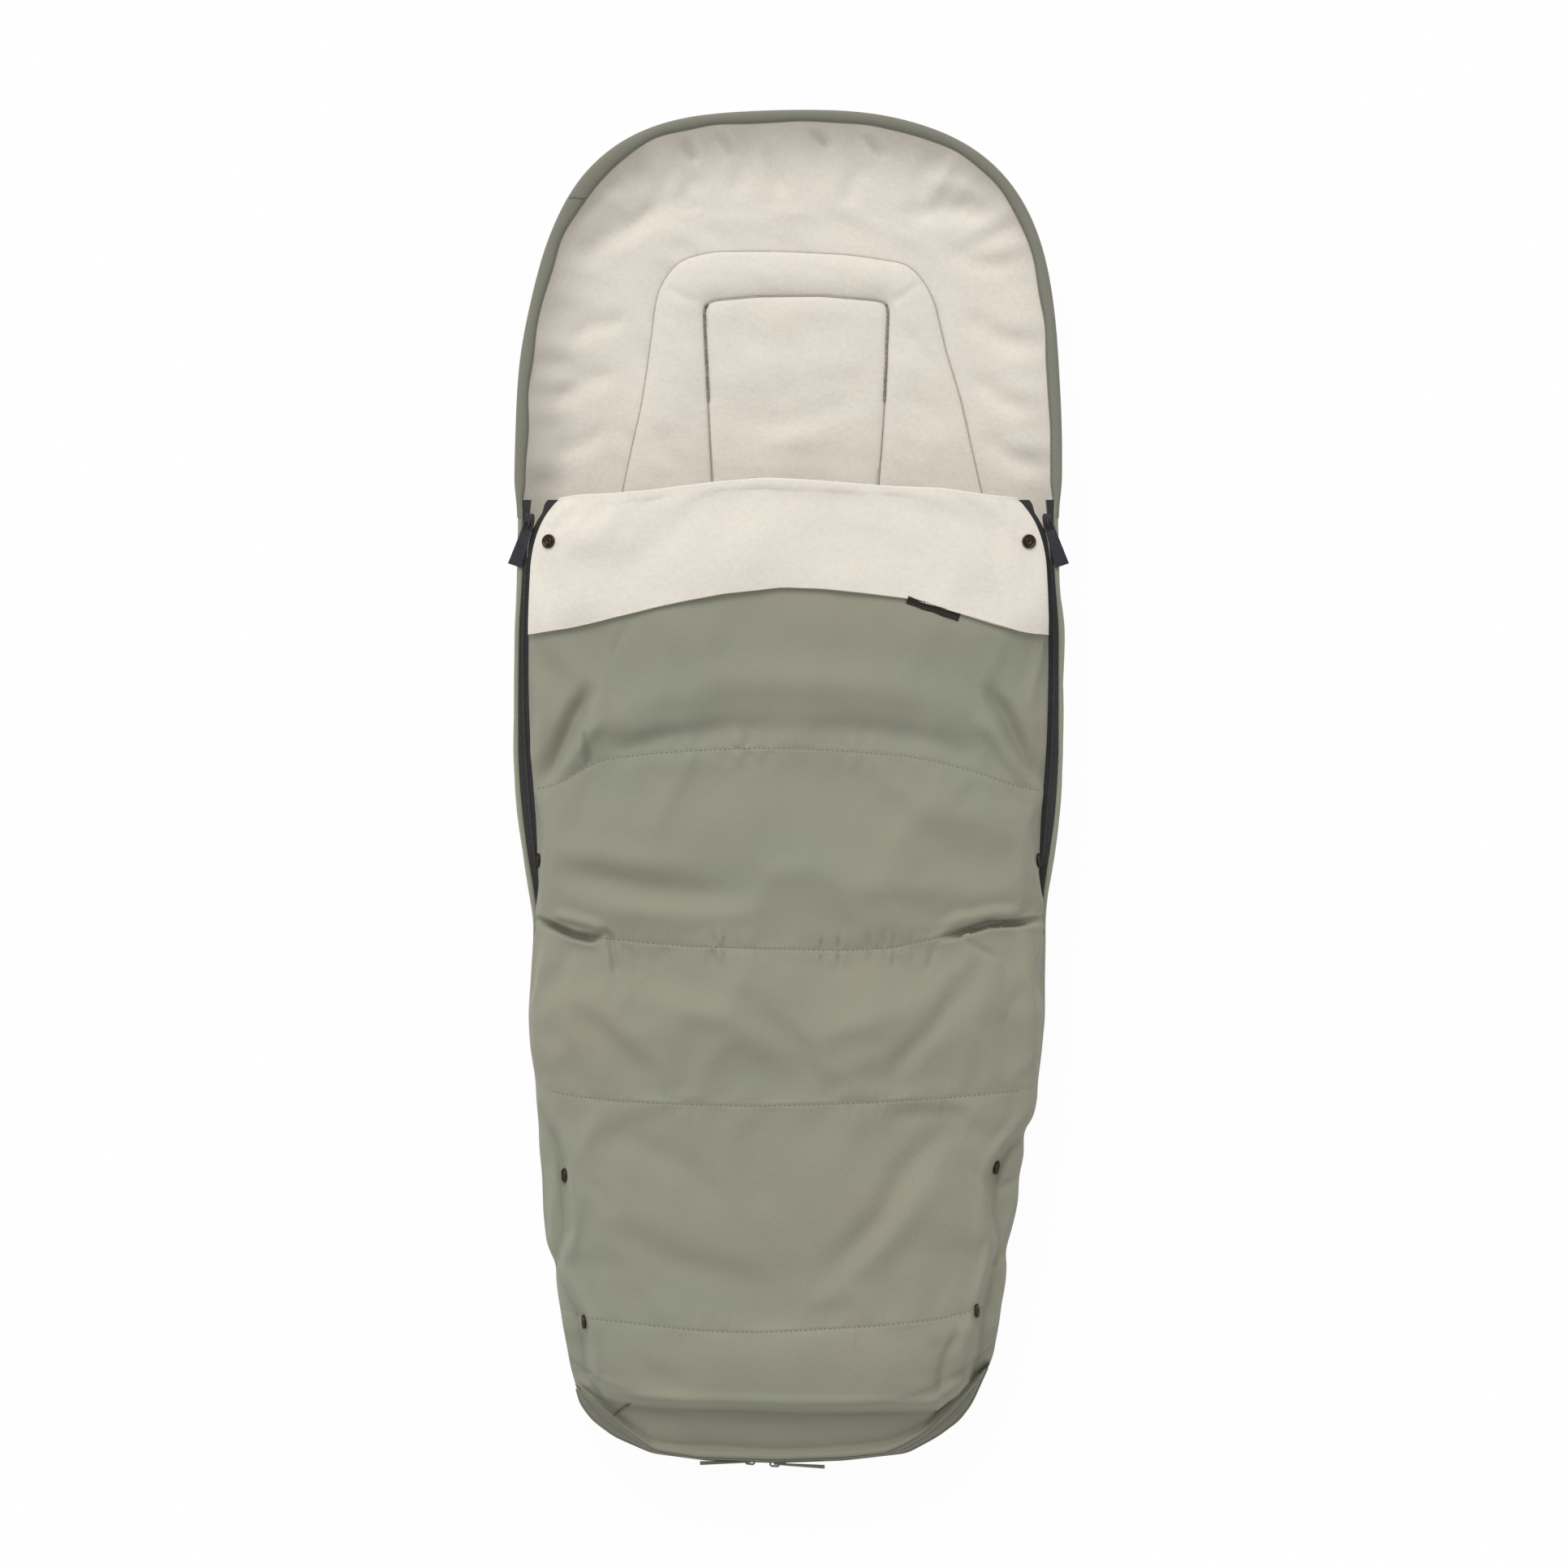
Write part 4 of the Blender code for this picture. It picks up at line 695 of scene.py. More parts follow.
def material(name):
    """One of the footmuff's finishes, made once from the colours in the panel."""
    if name in MADE:
        return MADE[name]
    tones = bpy.context.scene.footmuff_tones
    threads = bpy.context.scene.footmuff_sizes.threads

    def near(colour, share=1.0):
        return (*[c * share for c in colour[:3]], 1.0)

    def yarn(label, colour, first, second):
        return cloth_material(label, near(colour, first), near(colour, second), 5000, 0.00005, 0.7, 0.1, False, 300)

    makers = {
        "sage": lambda: cloth_material("sage_fabric", near(tones.sage_cool), near(tones.sage_warm), threads, 0.00012),
        "trim": lambda: cloth_material("sage_trim", near(tones.trim), near(tones.trim, 0.92), 1100, 0.00018),
        "fleece": lambda: fleece_material("fleece", near(tones.fleece), near(tones.fleece_warm)),
        "tape": lambda: cloth_material("zip_tape", near(tones.tape), near(tones.tape, 1.25), 900, 0.00025, 0.75, 0.1,
                                       True, 60),
        "coil": lambda: metal_material("zip_coil", near(tones.tape, 0.9), 0.42, 0.0, near(tones.tape, 1.2)),
        "foot_coil": lambda: metal_material("foot_coil", near(tones.trim, 0.9), 0.45, 0.0, near(tones.trim, 1.05)),
        "slider": lambda: metal_material("slider_metal", near(tones.slider), 0.40, 0.4, near(tones.slider, 1.6)),
        "foot_metal": lambda: metal_material("foot_metal", near(tones.trim, 0.62), 0.42, 0.3, near(tones.trim, 0.9)),
        "bronze": lambda: metal_material("snap_metal", near(tones.bronze), 0.36, 0.85, near(tones.bronze, 2.2)),
        "tag": lambda: cloth_material("tag_fabric", near(tones.tag), near(tones.tag, 1.3), 1400, 0.0002, 0.85, 0.0,
                                      True, 80),
        # Thread darker than the binding: partly its own colour, partly painted shade of the stitch holes and of the
        # binding's inner edge
        "thread": lambda: yarn("sage_thread_and_shade", tones.trim, 0.55, 0.68),
        # Seam thread darker than the sage: partly its own colour, partly painted shade of the stitch holes
        "sage_stitch_and_shade": lambda: yarn("sage_stitch_and_shade", tones.sage_cool, 0.74, 0.88),
        # Darker cream cords along the harness seams: partly thread, partly painted shade in the seams' grooves
        "cream_thread_and_groove_shade": lambda: yarn("cream_thread_and_groove_shade", tones.fleece, 0.52, 0.66),
        # Dark brown cords in the harness slits: painted shadow inside the slits
        "slit": lambda: cloth_material("slit_shadow", (0.34, 0.31, 0.24, 1), (0.13, 0.12, 0.09, 1), 900, 0.0002, 0.9, 0.1,
                                       False, 300),
        "dark_thread": lambda: yarn("dark_thread", tones.tape, 1.1, 1.4),
    }
    MADE[name] = makers[name]()
    return MADE[name]


# Shapes of the cloth

ARCH = 3.0


def arch(columns):
    """Places across a domed panel and the share of its height at each, closer together at the steep sides."""
    turn = np.linspace(-math.pi / 2, math.pi / 2, columns)
    across = np.sign(turn) * np.abs(np.sin(turn)) ** (2 / ARCH)
    flat = np.linspace(-1, 1, columns)
    across = 0.55 * across + 0.45 * np.sign(flat) * (1 - (1 - np.abs(flat)) ** 1.6)
    return across, np.clip(1 - np.abs(across) ** ARCH, 0, 1) ** (1 / ARCH)


def seam_y(points, across):
    """Height in the picture of a seam, at each place across the cover."""
    left, right = upper_edges(float(place(points)[:, 1].mean()))
    x = (left + right) / 2 + (right - left) / 2 * across
    line = smooth_line(points)
    line = line[np.argsort(line[:, 0])]
    return np.interp(x, line[:, 0], line[:, 1])


def puckers(along, away, seed, depth, reach=0.0055, pitch=0.010):
    """Small gathers that run out from a seam."""
    chance = np.random.default_rng(seed)
    total = np.zeros(along.shape)
    for _ in range(10):
        size = pitch * chance.uniform(0.55, 1.9)
        total += np.sin(2 * math.pi * along / size + chance.uniform(0, 6.28)) * chance.uniform(0.4, 1)
    swell = 0.5 + 0.5 * ripple(along, along * 0, 0.08, seed + 5)
    return depth * total / 3 * np.clip(swell, 0.15, 1.4) * (away / reach) * np.exp(0.5 - 0.5 * (away / reach) ** 2)


class Quilt:
    """Quilted channels between seams, as one grid from the first seam to the last."""

    def __init__(self, seams, crowns, puffs, columns, per_channel):
        self.across, self.rise = arch(columns)
        self.marks = [0]
        lines = [seam_y(seam, self.across) for seam in seams]
        even = np.linspace(0, 1, per_channel)
        shares = 0.25 * (1 - np.cos(math.pi * even)) + 0.5 * even
        ys, crown, share_of = [], [], []
        for k in range(len(seams) - 1):
            for share in shares[1 if k else 0:]:
                skew = share ** 1.25 if k == 0 else share
                swell = math.sin(math.pi * skew) ** 0.85 if 0 < share < 1 else 0.0
                ys.append(lines[k] * (1 - share) + lines[k + 1] * share)
                crown.append(crowns[k] * (1 - share) + crowns[k + 1] * share + puffs[k] * swell)
                share_of.append(share)
            self.marks.append(len(ys) - 1)
        self.y = np.array(ys)
        self.share = np.array(share_of)[:, None] + np.zeros_like(self.y)
        left, right = upper_edges(self.y)
        self.x = (left + right) / 2 + (right - left) / 2 * self.across
        z = COVER_BASE + (np.array(crown)[:, None] - COVER_BASE) * self.rise
        self.points = np.stack((self.x, self.y, z), -1)

    def held(self, seam_reach=0.004):
        """1 along the seams and edges, where stitches hold the cloth, falling to 0 away from them."""
        weight = np.zeros(self.y.shape)
        for mark in self.marks:
            weight = np.maximum(weight, 1 - ease(0.0005, seam_reach, np.abs(self.y - self.y[mark])))
        weight[:, :2] = weight[:, -2:] = 1
        return weight

    def push(self, amount):
        """Moves the cloth along its own normals."""
        self.points = self.points + normals_of(self.points) * amount[..., None]

    def gather(self, seed, marks):
        """Puckers on both sides of the seams, from rows of seam and depth."""
        x, y = self.points[..., 0], self.points[..., 1]
        total = sum(puckers(x, np.abs(y - y[self.marks[k]]), seed + 3 * k, depth) for k, depth in marks)
        self.push(total * np.clip(self.rise * 1.6, 0, 1) * ease(0.74, 0.60, np.abs(self.across)))


def thread(name, lines, normals, finish, body, slot, pitch=0.0036, length=0.0019, radius=0.00035, lift=0.0001):
    """A row of stitches: one short stitch with rounded ends, laid again and again along the lines."""
    verts, faces = [], []
    sides = 6
    turns = [2 * math.pi * j / sides for j in range(sides)]
    for line, out in zip(lines, normals):
        steps = lengths_along(line)
        for k in range(int(steps[-1] / pitch)):
            at = [pitch * (k + 0.5) + offset * length for offset in (-0.5, -0.32, 0.0, 0.32, 0.5)]
            spots = np.stack([np.interp(at, steps, column) for column in line.T], -1)
            up = np.array([np.interp(at[2], steps, column) for column in out.T])
            up /= max(np.linalg.norm(up), 1e-9)
            ahead = spots[-1] - spots[0]
            side = np.cross(ahead / max(np.linalg.norm(ahead), 1e-9), up)
            rings = []
            for spot, share, sink in zip(spots, (0.35, 0.9, 1.0, 0.9, 0.35), (-0.7, 0.2, 0.6, 0.2, -0.7)):
                middle = spot + up * (lift + radius * sink)
                rings += [middle + radius * share * (side * math.cos(turn) + up * math.sin(turn)) for turn in turns]
            add_bead(verts, faces, rings, sides)
    return dressed(closed(name, verts, faces, np.zeros((len(verts), 2)), finish), body, slot)


def add_bead(verts, faces, rings, sides):
    """Adds one closed bead, given as rings of points, to lists of verts and faces."""
    start, last = len(verts), len(verts) + len(rings) - sides
    verts += rings
    for first in range(start, last, sides):
        for j in range(sides):
            a, b = first + j, first + (j + 1) % sides
            faces.append((a, b, b + sides, a + sides))
    faces.append(tuple(range(start + sides - 1, start - 1, -1)))
    faces.append(tuple(range(last, last + sides)))


def seam_thread(name, quilt, marks, body, inside=0.012):
    """Stitches along a quilt's seams, darker than the cloth: partly thread colour, partly painted shade of the stitch
    holes.
    """
    keep = np.abs(quilt.across) < 1 - inside
    grids = (quilt.points, normals_of(quilt.points))
    lines, normals = ([grid[quilt.marks[mark]][keep] for mark in marks] for grid in grids)
    return thread(name, lines, normals, "sage_stitch_and_shade", body, "sage_trim")


def below(points, depth):
    """A smooth inner side for a padded piece, a depth under its outer side."""
    return points - normals_of(points) * depth[..., None]


def applied(thing, step):
    """Applies a modifier to a piece, which is left as the only one chosen."""
    bpy.ops.object.select_all(action="DESELECT")
    bpy.context.view_layer.objects.active = thing
    thing.select_set(True)
    bpy.ops.object.modifier_apply(modifier=step.name)


def surface_of(thing):
    mesh = bmesh.new()
    mesh.from_mesh(thing.data)
    tree = BVHTree.FromBMesh(mesh)
    mesh.free()
    return tree


def over(name, x, y):
    """The place and normal of a kept surface straight under a spot, or None twice."""
    return KEPT[name].ray_cast(Vector((x, y, 0.3)), Vector((0, 0, -1)))[:2]


KEPT = {}


# Operators

class Piece(bpy.types.Operator):
    """One group of the footmuff's pieces"""
    bl_options = {"REGISTER", "UNDO"}

    def execute(self, context):
        bpy.ops.object.select_all(action="DESELECT")
        self.make(context)
        return {"FINISHED"}


def upper_edges(y):
    """The cover's edges beside the side zips, bulging over them towards the foot, then out to the outline."""
    left, right = edges(y)
    beside = beside_zip(y, 0.0034)
    past = ease(-0.02, -0.105, y)
    return -beside * (1 - past) + (left + 0.0008) * past, beside * (1 - past) + (right - 0.0008) * past


def past_panel(x, y):
    """Distance outside the raised panel, negative inside it."""
    line = place(PANEL_EDGE)
    away, _ = to_line(x, y, line)
    ring = np.concatenate((line, place(((1380, 600), (560, 600)))))
    inside = np.zeros(x.shape, bool)
    for (ax, ay), (bx, by) in zip(ring, np.roll(ring, -1, 0)):
        with np.errstate(divide="ignore", invalid="ignore"):
            at = (bx - ax) * (y - ay) / (by - ay) + ax
        inside ^= ((ay > y) != (by > y)) & (x < at)
    return np.where(inside, -away, away)


def turned_down(x, y, drop):
    """How far the cloth drops past the raised panel's edge, with a tight crease at its foot."""
    past = past_panel(x, y)
    crease = 0.0014 * np.exp(-((past - 0.0025) / 0.0026) ** 2)
    roll = 0.0014 * np.exp(-((past + 0.0050) / 0.0040) ** 2)
    return -(drop * ease(-0.0035, 0.0045, past) + crease - roll) * ease(-0.222, -0.262, y)


def channels(context):
    """The cover's four quilted channels as one cloth, from the mouth to the toe flap."""
    if "cloth" in KEPT:
        return KEPT["cloth"]
    quilt = Quilt((MOUTH_LINE, SEAM_A, SEAM_B, SEAM_C, SEAM_D), (0.083, 0.0885, 0.0935, 0.0970, 0.0930),
                  (0.0125, 0.0085, 0.0085, 0.0075), COVER_COLUMNS, CHANNEL_ROWS)
    x, y = quilt.x, quilt.y
    lift = folds(x, y, SOFT_FOLDS)
    lift += ripple(x, y, 0.095, 3) * 0.0009 + ripple(x, y, 0.042, 4) * 0.0003
    quilt.push(lift * np.clip(quilt.rise * 1.5, 0, 1) * ease(0.245, 0.20, y))
    quilt.points[..., 2] += turned_down(x, y, GUSSET_DROP) * np.clip(quilt.rise * 1.6, 0, 1)
    quilt.points = settled(quilt.points, quilt.held(), context.scene.footmuff_sizes.slack)
    quilt.gather(11, ((1, 0.0014), (2, 0.0018), (3, 0.0010), (4, 0.0004)))
    # Beside the side zips the cloth's lowest part is tucked in
    points = quilt.points
    tuck = np.clip((0.012 - (points[..., 2] - COVER_BASE)) / 0.012, 0, 1) * ease(-0.125, -0.09, points[..., 1])
    tucked = np.sign(quilt.across) * np.minimum(np.abs(points[..., 0]), beside_zip(points[..., 1], 0.0044))
    points[..., 0] = points[..., 0] * (1 - tuck ** 2) + tucked * tuck ** 2
    quilt.low = np.where(y > -0.11, COVER_BASE + 0.0002, LOWER_BASE + 0.0002)
    points[..., 2] = np.maximum(points[..., 2], quilt.low)
    quilt.depth = 0.0135 * np.clip(quilt.rise * 1.3, 0.10, 1) * (0.35 + 0.65 * np.sin(np.pi * quilt.share) ** 0.6)
    KEPT["cloth"] = quilt
    return quilt


def quilted_pair(name, quilt, rows, solids, lining, body):
    """A quilted outer piece and its fleece underside, from some of the cloth's rows."""
    top, depth, low = quilt.points[rows], quilt.depth[rows], quilt.low[rows] - 0.0002
    under = below(top, depth)
    under[..., 2] = np.maximum(under[..., 2], low)
    piece = dressed(two_sided(name, top, under, "sage"), body, "sage_fabric", *solids, fill=0.45)
    inner = below(top, depth + 0.0004)
    inner[..., 0] *= 0.992
    inner[..., 2] = np.maximum(inner[..., 2], low)
    sunk = below(inner, np.full(depth.shape, 0.0022))
    fleece = two_sided(name + "_fleece", inner[::2, ::2], sunk[::2, ::2], "fleece")
    dressed(fleece, body, "fleece", lining, fill=0.2)
    KEPT[name] = surface_of(piece)
    return piece, fleece


class MakeCover(Piece):
    """Makes the zipped upper cover with its two quilted channels and its fleece underside"""
    bl_idname = "footmuff.make_cover"
    bl_label = "Quilted cover"

    def make(self, context):
        quilt = channels(context)
        pair = quilted_pair("quilted_cover", quilt, slice(0, quilt.marks[2] + 1),
                            ("cover_face", "cover_fill_1", "cover_fill_2"), "cover_lining", None)
        for piece in pair:
            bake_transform(piece)
        seam_thread("cover_seam_stitches", quilt, (1,), "cover")


class MakeLowerCover(Piece):
    """Makes the third and fourth channels, sewn down to the shell"""
    bl_idname = "footmuff.make_lower_cover"
    bl_label = "Lower cover"

    def make(self, context):
        quilt = channels(context)
        quilted_pair("lower_cover", quilt, slice(quilt.marks[2], None),
                     ("lower_cover_face", "lower_cover_fill_3", "lower_cover_fill_4"), "lower_cover_lining", "back")
        seam_thread("lower_seam_stitches", quilt, (2, 3, 4), "back", inside=0.06)


class MakeToe(Piece):
    """Makes the toe flap: the fifth channel and the slope down to the foot zip"""
    bl_idname = "footmuff.make_toe"
    bl_label = "Toe flap"

    def make(self, context):
        quilt = channels(context)
        rise, first = quilt.rise[None], quilt.points[-1]
        s = np.linspace(0, 1, 110)[:, None]
        # From the fourth seam to the foot zip's line
        even = (quilt.across + 1) / 4 + np.linspace(0, 0.5, len(quilt.across))
        end = smooth_line(FOOT_LINE, reach=3)
        end = np.stack([np.interp(even, np.linspace(0, 1, LINE_STEPS), column) for column in end.T], -1)
        xy = first[None, :, :2] * (1 - s[..., None]) + end[None] * s[..., None]
        y = xy[..., 1]
        left, right = edges(y)
        bow = 0.0035 * np.sin(np.pi * s) * quilt.across[None] ** 3
        x = np.clip(xy[..., 0] + bow, left + 0.0008, right - 0.0008)
        # The channel's dome, its base lowered at the sides to meet the shell's edge
        crown = 0.0930 - 0.0050 * ease(0, 0.66, s)
        fall = (1 - np.clip((s - 0.45) / 0.55, 0, 1) ** 2.6) ** (1 / 1.8)
        base = LOWER_BASE - 0.0085 * ease(-0.399, -0.416, y) * (1 - ease(-0.434, -0.446, y))
        z = base + (crown - base) * rise * fall
        z = z + 0.0042 * np.sin(np.pi * np.clip(s / 0.66, 0, 1) ** 0.85) ** 0.9 * rise
        top = np.stack((x, y, z), -1)
        edge = np.clip(rise * 1.7, 0, 1) * (1 - ease(0.93, 1.0, s)) * ease(0, 0.06, s)
        lift = folds(x, y, TOE_FOLDS) + ripple(x, y, 0.07, 43) * 0.0007
        top = top + normals_of(top) * (lift * edge)[..., None]
        joined = np.clip(rise * 1.6, 0, 1)
        drop = GUSSET_DROP + 0.0030 * ease(-0.45, -0.462, y)
        top[..., 2] += turned_down(x, y, drop) * joined * (1 - ease(0.90, 1.0, s))
        gathers = puckers(x, np.abs(y - y[0]), 61, 0.0004) * joined * ease(0, 0.02, s)
        top = top + normals_of(top) * gathers[..., None]
        top = top + (first - top[0])[None] * (1 - ease(0, 0.14, s))[..., None]
        top[..., 2] = np.maximum(top[..., 2], base + 0.0002)
        depth = 0.012 * np.clip(rise * 1.3, 0.1, 1) * (1 - 0.8 * ease(0.8, 1.0, s)) * (0.35 + 0.65 * ease(0, 0.12, s))
        under = below(top, depth)
        under[..., 2] = np.maximum(under[..., 2], base)
        piece = dressed(two_sided("toe_flap", top, under, "sage"), None, "sage_fabric",
                        "toe_flap_face", "toe_flap_fill_5", fill=0.45)
        inner = below(top, depth + 0.0008)
        inner[..., 0] *= 0.97
        inner[..., 2] = np.maximum(np.minimum(inner[..., 2], top[..., 2] - 0.004), base - 0.006)
        inner = inner[0:86:2, 4:-4:2]
        fleece = two_sided("toe_fleece", inner, inner - (0, 0, 0.0022), "fleece")
        dressed(fleece, None, "fleece", "toe_flap_lining", fill=0.2)
        for thing in (piece, fleece):
            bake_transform(thing)
        KEPT["toe"] = surface_of(piece)
        # The sewn join at the toe's left corner
        ends = evenly(place(((778, 1727), (770, 1733), (762, 1739), (754, 1746))), 16)
        hits = [over("toe", *spot)[0] for spot in ends]
        line = evenly([spot for spot in hits if spot], 20) + (0, 0, 0.0001)
        dressed(swept("toe_corner_seam", line, 0.0006, 0.0003, "thread"), "toe_flap", "sage_trim")


class MakeShell(Piece):
    """Makes the shell: the outer tub with its rolled edge and its harness and crotch slots"""
    bl_idname = "footmuff.make_shell"
    bl_label = "Shell"

    def make(self, context):
        # Rows of inset, height over the floor, and share of the way from the belly to the edge
        profile = [(0.0012 + FLOOR_TURN * (1 - math.sin(turn)), BELLY * (1 - math.cos(turn)), 0.0)
                   for turn in np.radians(np.linspace(0, 90, 10))]
        profile += [(0.0012 - 0.0010 * math.sin(math.pi * share), None, share) for share in np.linspace(0.12, 1, 9)]
        rings = []
        for inset, height, share in profile:
            z = BELLY + (LOOP_RIM - 0.0015 - BELLY) * share if height is None else np.full(LOOP_Y.shape, height)
            wave = ripple(LOOP[:, 0], LOOP_Y + z * 2, 0.06, 71) * math.sin(math.pi * min(max(share, 0.2), 0.95))
            rings.append(loop_ring(inset + 0.0007 * wave, z))
        bead = 0.0016 * ease(0.235, 0.215, LOOP_Y) * ease(-0.115, -0.100, LOOP_Y) + 0.0004
        for turn in np.radians((-60, -20, 20, 60, 90, 130, 180)):
            across = 0.0006 + bead * (1 - math.cos(turn))
            rings.append(loop_ring(across, LOOP_RIM + bead * math.sin(turn) * 0.9))
        for inset, height, share in profile[::-1]:
            z = BELLY + (LOOP_RIM - 0.004 - BELLY) * share if height is None else np.full(LOOP_Y.shape, height + 0.0011)
            rings.append(loop_ring(inset + 0.0013, z))
        shell = ringed("shell", np.array(rings), "sage", 70)
        cut_slots(shell)
        dressed(shell, "back", "sage_fabric", "back_shell", fill=0.1)
        count, lines = 120, []
        for middle, size in SLOTS:
            a, b = np.array(size) / 2 + 0.0035
            corners = np.array([(-a, -b), (a, -b), (a, b), (-a, b), (-a, -b)]) + middle
            lines.append(np.concatenate((evenly(corners, count), np.full((count, 1), -0.00015)), 1))
        thread("slot_stitches", lines, [-upright(count)] * 3, "thread", "back", "sage_trim",
               radius=0.0003, lift=-0.0002)


def cut_slots(thing):
    """Cuts the two strap slots and the crotch slot right through a piece."""
    for (x, y), (wide, tall) in SLOTS:
        bpy.ops.mesh.primitive_cube_add(size=1, location=(x, y, 0.01), scale=(wide, tall, 0.06))
        cutter = bpy.context.object
        step = thing.modifiers.new("slot", "BOOLEAN")
        step.operation, step.object, step.solver = "DIFFERENCE", cutter, "EXACT"
        applied(thing, step)
        thing.select_set(False)
        bpy.data.objects.remove(cutter, do_unlink=True)


class MakeLining(Piece):
    """Makes the fleece lining of the tub, gathered under the head's binding"""
    bl_idname = "footmuff.make_lining"
    bl_label = "Fleece lining"

    def make(self, context):
        head = ease(0.16, 0.30, LOOP_Y)
        edge = LOOP_RIM - 0.0012 - 0.0075 * ease(0.245, 0.205, LOOP_Y)
        around = lengths_along(LOOP)
        gathers = sum(np.sin(2 * math.pi * around / size + shift) * weight for size, shift, weight in
                      ((0.031, 0.3, 0.8), (0.047, 1.9, 1.0), (0.023, 4.0, 0.5), (0.071, 2.2, 0.8))) / 2
        gathers *= 0.4 + 0.6 * np.abs(np.sin(around * 11))
        rings = []
        for t in np.linspace(0, 1, 45):
            # Down the tub's wall
            inset = 0.0052 + (0.030 + 0.030 * head) * t ** 1.25
            drop = 1 - (1 - min(t * 1.15, 1)) ** 2.3
            z = edge * (1 - drop) + LINING_TOP * drop
            z = z + gathers * 0.0036 * math.sin(math.pi * min(t * 0.95, 1)) ** 0.8 * head * (1 - t) ** 1.2
            spots = LOOP + INWARD * inset[:, None]
            z = z + folds(*spots.T, HEAD_FOLDS) * 1.8 * ease(0.05, 0.25, t)
            rings.append(loop_ring(inset + gathers * 0.0012 * (1 - t) * head, z))
        wall = len(rings)
        inner = rings[-1][:, :2]
        spine = np.stack((np.zeros_like(LOOP_Y), np.clip(LOOP_Y, -0.36, 0.36)), -1)
        for share in np.linspace(0.04, 0.97, 40):
            # Over the tub's floor
            flat = inner * (1 - share) + spine * share
            x, y = flat.T
            bump = 0.0011 * ripple(x, y, 0.075, 81) + 0.0006 * ripple(x + y * 0.8, y, 0.035, 82)
            z = LINING_TOP + bump * ease(0, 0.2, share) * head + folds(x, y, HEAD_FOLDS) * ease(0, 0.15, share) * 1.8
            rings.append(np.concatenate((flat, z[:, None]), 1))
        top = np.array(rings)
        under = top.copy()
        under[..., 2] = np.maximum(under[..., 2] - 0.0025, LINING_TOP - 0.009)
        under[:wall, :, :2] -= (INWARD * 0.0022)[None]
        lining = ringed("fleece_lining", np.concatenate((under[::3][::-1], top)), "fleece", 70)
        bpy.context.view_layer.update()
        cut_slots(lining)
        dressed(lining, "back", "fleece", "back_lining", "back_wadding", fill=0.3)
        KEPT["lining"] = surface_of(lining)


def patch_height(xy, lift):
    """Points on the lining's fleece, raised by a height."""
    z = np.empty(xy.shape[:2])
    for spot in np.ndindex(z.shape):
        hit, _ = over("lining", *xy[spot])
        z[spot] = hit.z if hit else LINING_TOP
    if len(z) > 20:
        z = blurred(z, 4)
    z = np.maximum(blurred(z.T, 4).T, LINING_TOP)
    return np.concatenate((xy, (z + lift)[..., None]), -1)


